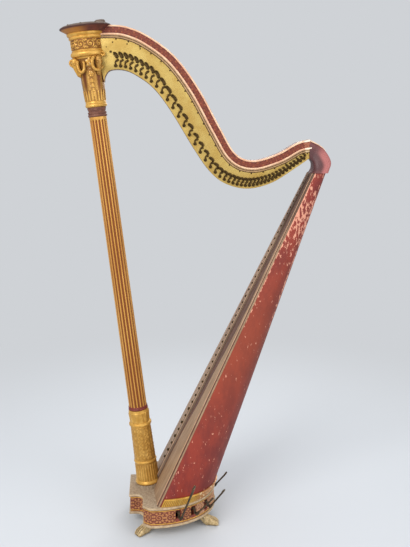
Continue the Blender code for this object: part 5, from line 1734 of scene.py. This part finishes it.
    def acanthus(self, u: Array, v: Array, half_l: float) -> Array:
        """One panel's carving, 0 to 1, at u along it and v up it from its middle."""
        rho, phi = np.hypot(u, v), np.arctan2(v, u)
        tips = smooth(0.15, 0.6, np.cos(4.5 * phi) ** 2) * bell(rho - 0.0165, 0.0034)
        corner = np.hypot(np.abs(u) - half_l, np.abs(v) - self.panel_h / 2)
        shown = scroll(u, v, 0.0080, 0.19, 0.0150, 0.0015) + tips + bell(corner - 0.0035, 0.0022)
        shown = np.clip(shown, 0, 1)
        return shown * smooth(0, 0.0015, self.panel_h / 2 - np.abs(v))

    def paws(self) -> None:
        """Four lion's paws: two under the cheeks, and two under the half-round back."""
        depth, turn = self.back_x - self.round_x, radians(57.8)
        front = (self.notch_x + 0.0080, self.cheek_y - 0.0250, 143)
        back = (self.round_x + depth * sin(turn), self.half_w * cos(turn), 5)
        for end, (x, y, aim) in (("front", front), ("back", back)):
            for hand, side in (("left", -1), ("right", 1)):
                stand = Matrix.Translation((x + LAYOUT.column_x, side * y, 0)) @ Matrix.Rotation(
                    radians(side * aim), 4, "Z")
                cast = Casting()
                for points, hollow in self.paw():
                    cast.grid(placed(points, stand), hollow=hollow)
                name = "paw_%s_%s" % (end, hand)
                self.shop.put(name + "_carved", cast, PAW_GILT, replaces=[name], sharp=55)

    def paw(self) -> list[tuple[Array, Array]]:
        """One paw along X: its root under the board at -X, and its toes at +X.

        Rings stand across X. Width and height follow the paw's rings, the sole is flat, and toes
        are three grooves over the front third.

        Returns:
            Points and hollows of the paw and of its four claws.
        """
        x = np.linspace(-0.030, 0.0425, 60)[:, None]
        knots = np.array(self.paw_rings)
        half, low, high = (np.interp(x, knots[:, 0], knots[:, k]) for k in (1, 2, 3))
        turn = turns(48)
        c, s = squared(turn, 3.0)
        y, z = half * c, (low + high) / 2 + (high - low) / 2 * s
        lift, toe = np.sin(turn), np.clip(y / half, -1, 1)
        groove = bell(off_whole(toe * 2), 0.13) * (np.abs(toe) < 0.80) * smooth(0.008, 0.026, x) \
            * np.clip(lift, 0, 1) ** 0.4
        lock = (bell(off_whole(toe * 3 + x * 60 - 0.5), 0.16) * smooth(0.008, -0.012, x)
                * np.clip(lift + 0.6, 0, 1))
        z = z - 0.0055 * groove - 0.0012 * lock
        # painted shade: the paw's underside is darkened by up to 0.45
        under = smooth(0.0, -0.7, lift) * 0.45
        pieces = [(coords(x, y, np.where(z < 0.0006, 0.0, z)),
                   np.clip(1.6 * groove + 0.9 * lock + under, 0, 1))]
        t = np.linspace(0, 1, 8)
        for place in self.claws:
            path = coords(0.0375 + 0.0052 * t, place, 0.0125 - 0.0095 * t ** 1.6)
            claw = swept(path, round_section(2, 2, 10), Z_AXIS, 0.0024 * (1 - 0.8 * t))
            pieces.append((claw, np.zeros(claw.shape[:2])))
        return pieces


@dataclass
class Pedals(SubAssembly):
    """Seven iron levers through the base's slots, and the folding feet on them."""

    # Each pedal's direction, its foot's direction, how far the foot is folded up, in degrees, and its length
    pedals: dict[str, tuple[float, float, float, float]] = field(default_factory=lambda: {
        "d": (-57, -30, 68, 0.138), "c": (-41, -30, 50, 0.090), "b": (-25, -32, 54, 0.090),
        "e": (11, -24, 52, 0.070), "f": (27, 28, 84, 0.090), "g": (43, 41, 84, 0.090),
        "a": (59, 40, 78, 0.138)})
    pivot_r: float = 0.0750
    pivot_z: float = 0.0890
    out: float = 0.0180
    drop: float = 0.0140
    # The blade along its length: share of it, half width and half thickness
    blade: tuple[tuple[float, float, float], ...] = (
        (0, 0.0058, 0.0025), (0.06, 0.0068, 0.002725), (0.08, 0.00675, 0.0028), (0.30, 0.0062, 0.00285238),
        (0.50, 0.00645, 0.0029), (0.62, 0.0066, 0.00293529), (0.84, 0.00751667, 0.0030),
        (0.86, 0.0076, 0.00313333), (0.93, 0.00775556, 0.0036), (0.95, 0.0078, 0.0032),
        (0.985, 0.0062, 0.0025), (1.0, 0.0030, 0.0022))
    rivet_half: float = 0.0078
    rivet_r: float = 0.0024
    ear_y: float = 0.0054
    ear_half_t: float = 0.00122
    ear_r: float = 0.0046

    def wall_reach(self, base: Base, angle: float) -> float:
        """Distance from the column's foot to the wall's outside in one direction, on its ellipse."""
        depth = base.back_x - base.round_x
        c, s = cos(angle), sin(angle)
        a = (c / depth) ** 2 + (s / base.half_w) ** 2
        b = -2 * base.round_x * c / depth ** 2
        d = (base.round_x / depth) ** 2 - 1
        return (-b + (b * b - 4 * a * d) ** 0.5) / (2 * a)

    def build(self) -> None:
        """Every pedal's lever and foot."""
        base = Base(self.shop)
        for name, (angle, aim, fold, length) in self.pedals.items():
            turn = radians(angle)
            pivot = (LAYOUT.column_x + self.pivot_r * cos(turn), self.pivot_r * sin(turn), self.pivot_z)
            hinge = (self.wall_reach(base, turn) - self.pivot_r + self.out, 0.0, -self.drop)
            joint = Matrix.Translation(pivot) @ Matrix.Rotation(turn, 4, "Z") @ Matrix.Translation(hinge) \
                @ Matrix.Rotation(radians(aim - angle), 4, "Z") @ Matrix.Rotation(-radians(fold), 4, "Y")
            self.shop.dress("pedal_%s_lever" % name, PEDAL_IRON)
            self.shop.dress("pedal_%s_rod" % name, PEDAL_IRON)
            self.foot(name, joint, length)

    def foot(self, name: str, joint: Matrix, length: float) -> None:
        """A foot in its own frame: ears on the rivet, a waisted blade, and a raised, rounded toe.

        The blade is a rounded section along X whose half width and thickness follow its profile.

        Args:
            name: the pedal's letter.
            joint: the foot's frame, on its rivet.
            length: from the rivet to the toe.
        """
        x = np.linspace(0.0068, length + 0.002, 48)
        share = (x - x[0]) / (x[-1] - x[0])
        knots = np.array(self.blade)
        half = coords(*(np.interp(share, knots[:, 0], knots[:, k]) for k in (1, 2)))
        path = coords(x, 0.0, 0.0010 * smooth(0.80, 0.96, share))
        blade = swept(path, round_section(2, 2, 20, 3.4) * half[:, None], Z_AXIS)
        cast = Casting().grid(placed(blade, joint), wear=0.35 * smooth(0.80, 0.94, share)[:, None])
        turn = np.linspace(radians(75), radians(285), 12)
        tab = np.concatenate([coords(np.cos(turn), np.sin(turn)) * self.ear_r,
                              [(0.0105, -0.0022), (0.0105, 0.0022)]])
        for side in (-1, 1):
            ear = [coords(tab[:, 0], side * self.ear_y + d, tab[:, 1])
                   for d in (-self.ear_half_t, self.ear_half_t)]
            cast.grid(placed(np.stack(ear), joint))
        line = coords(0.0, np.linspace(-self.rivet_half, self.rivet_half, 6), 0.0)
        size = np.array([0.5, 0.95, 1, 1, 0.95, 0.5]) * self.rivet_r
        cast.grid(placed(swept(line, round_section(2, 2, 12), Z_AXIS, size), joint))
        self.shop.put("pedal_%s_foot_forged" % name, cast, PEDAL_IRON, body="pedal_%s_tread" % name,
                      replaces=["pedal_%s_foot" % name])


# Studio

@dataclass(frozen=True)
class Studio:
    """Pale floor, soft lamps and the camera at the photograph's place."""

    camera_x: float = -0.128
    camera_y: float = -2.339
    camera_z: float = 1.360
    yaw: float = radians(3.63)
    pitch: float = radians(11.73)
    focal_px: float = 713.0
    image: tuple[int, int] = (410, 547)
    backdrop: str = "#CFD2D6"
    floor: str = "#C9CCD0"
    sky: str = "#E9ECEF"
    target: tuple[float, float, float] = (0.0, 0.0, 0.85)
    # Each lamp's place, side and power
    lamps: tuple[tuple[str, tuple[float, float, float], float, float], ...] = (
        ("key", (-2.2, -3.0, 2.9), 2.4, 126.0), ("fill", (2.6, -2.4, 1.6), 2.4, 46.0),
        ("back", (0.8, 2.8, 2.6), 2.0, 48.0))

    def camera(self) -> None:
        """A camera that looks along +Y, turned to +X and tipped down; its focal length is in pixels."""
        data = bpy.data.cameras.new("camera")
        data.sensor_width = 36.0
        data.lens = self.focal_px * 36.0 / max(self.image)
        ahead = Vector((sin(self.yaw) * cos(self.pitch), cos(self.yaw) * cos(self.pitch), -sin(self.pitch)))
        right = Vector((cos(self.yaw), -sin(self.yaw), 0))
        seen = bpy.data.objects.new("camera", data)
        seen.matrix_world = Matrix.Translation((self.camera_x, self.camera_y, self.camera_z)) \
            @ Matrix((right, right.cross(ahead), -ahead)).transposed().to_4x4()
        bpy.context.scene.collection.objects.link(seen)
        bpy.context.scene.camera = seen

    def lamp(self, name: str, place: tuple[float, float, float], size: float, power: float) -> None:
        """A square area lamp that faces the harp's middle."""
        data = bpy.data.lights.new(name, "AREA")
        data.size = size
        data.energy = power
        made = bpy.data.objects.new(name, data)
        made.location = place
        made.rotation_euler = (Vector(self.target) - Vector(place)).to_track_quat("-Z", "Y").to_euler()
        bpy.context.scene.collection.objects.link(made)

    def direct_rays(self, graph: Graph) -> Any:
        """1 for camera, glossy and transmission rays, 0 for the rays that light the harp."""
        rays = graph.add("LightPath")
        one = graph.sum("MAXIMUM", rays["Is Camera Ray"], rays["Is Glossy Ray"])
        return graph.sum("MAXIMUM", one, rays["Is Transmission Ray"])

    def floor_material(self) -> bpy.types.Material:
        """A pale matt floor that turns to the backdrop's own colour with distance from the harp."""
        made = bpy.data.materials.new("pale_studio_floor")
        graph = Graph(made)
        lit = graph.tree.nodes["Principled BSDF"]
        graph.feed(lit, {"Base Color": srgb(self.floor), "Roughness": 0.9})
        away = graph.add("VectorMath", {0: graph.add("TexCoord")["Object"]}, operation="LENGTH")["Value"]
        share = graph.sum("MULTIPLY", graph.ramp(away, 0.5, 2.3), self.direct_rays(graph))
        flat = graph.add("Emission", {"Color": srgb(self.backdrop), "Strength": 1.0})[0]
        mixed = graph.add("MixShader", {0: share, 1: lit.outputs[0], 2: flat})[0]
        graph.feed("Material Output", {"Surface": mixed})
        return made

    def build(self) -> None:
        """Camera, lamps, world, floor and view settings."""
        self.camera()
        for name, place, size, power in self.lamps:
            self.lamp(name, place, size, power)
        world = bpy.data.worlds.new("studio")
        graph = Graph(world)
        sky = graph.add("Background", {"Color": srgb(self.sky), "Strength": 0.86})[0]
        seen = graph.add("Background", {"Color": srgb(self.backdrop), "Strength": 1.0})[0]
        mixed = graph.add("MixShader", {0: self.direct_rays(graph), 1: sky, 2: seen})[0]
        graph.feed("World Output", {"Surface": mixed})
        bpy.context.scene.world = world
        x, y = np.meshgrid(np.linspace(-9, 9, 7), np.linspace(-9, 9, 7), indexing="ij")
        floor = Casting().grid(coords(x, y, 0.0), around=False, caps=False)
        made = floor.mesh("floor", [self.floor_material()], 30)
        if made.data.polygons[0].normal.z < 0:
            made.data.flip_normals()
        bpy.context.scene.view_settings.view_transform = "Standard"


def main() -> None:
    """Build the harp's dress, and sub-assembly by sub-assembly."""
    logging.basicConfig(level=logging.INFO, format="%(name)s %(message)s")
    shop = Workshop(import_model())
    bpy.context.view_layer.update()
    Studio().build()
    for kind in (Column, Capital, Neck, Soundbox, Base, Pedals):
        kind(shop).build()


if __name__ == "__main__":
    main()
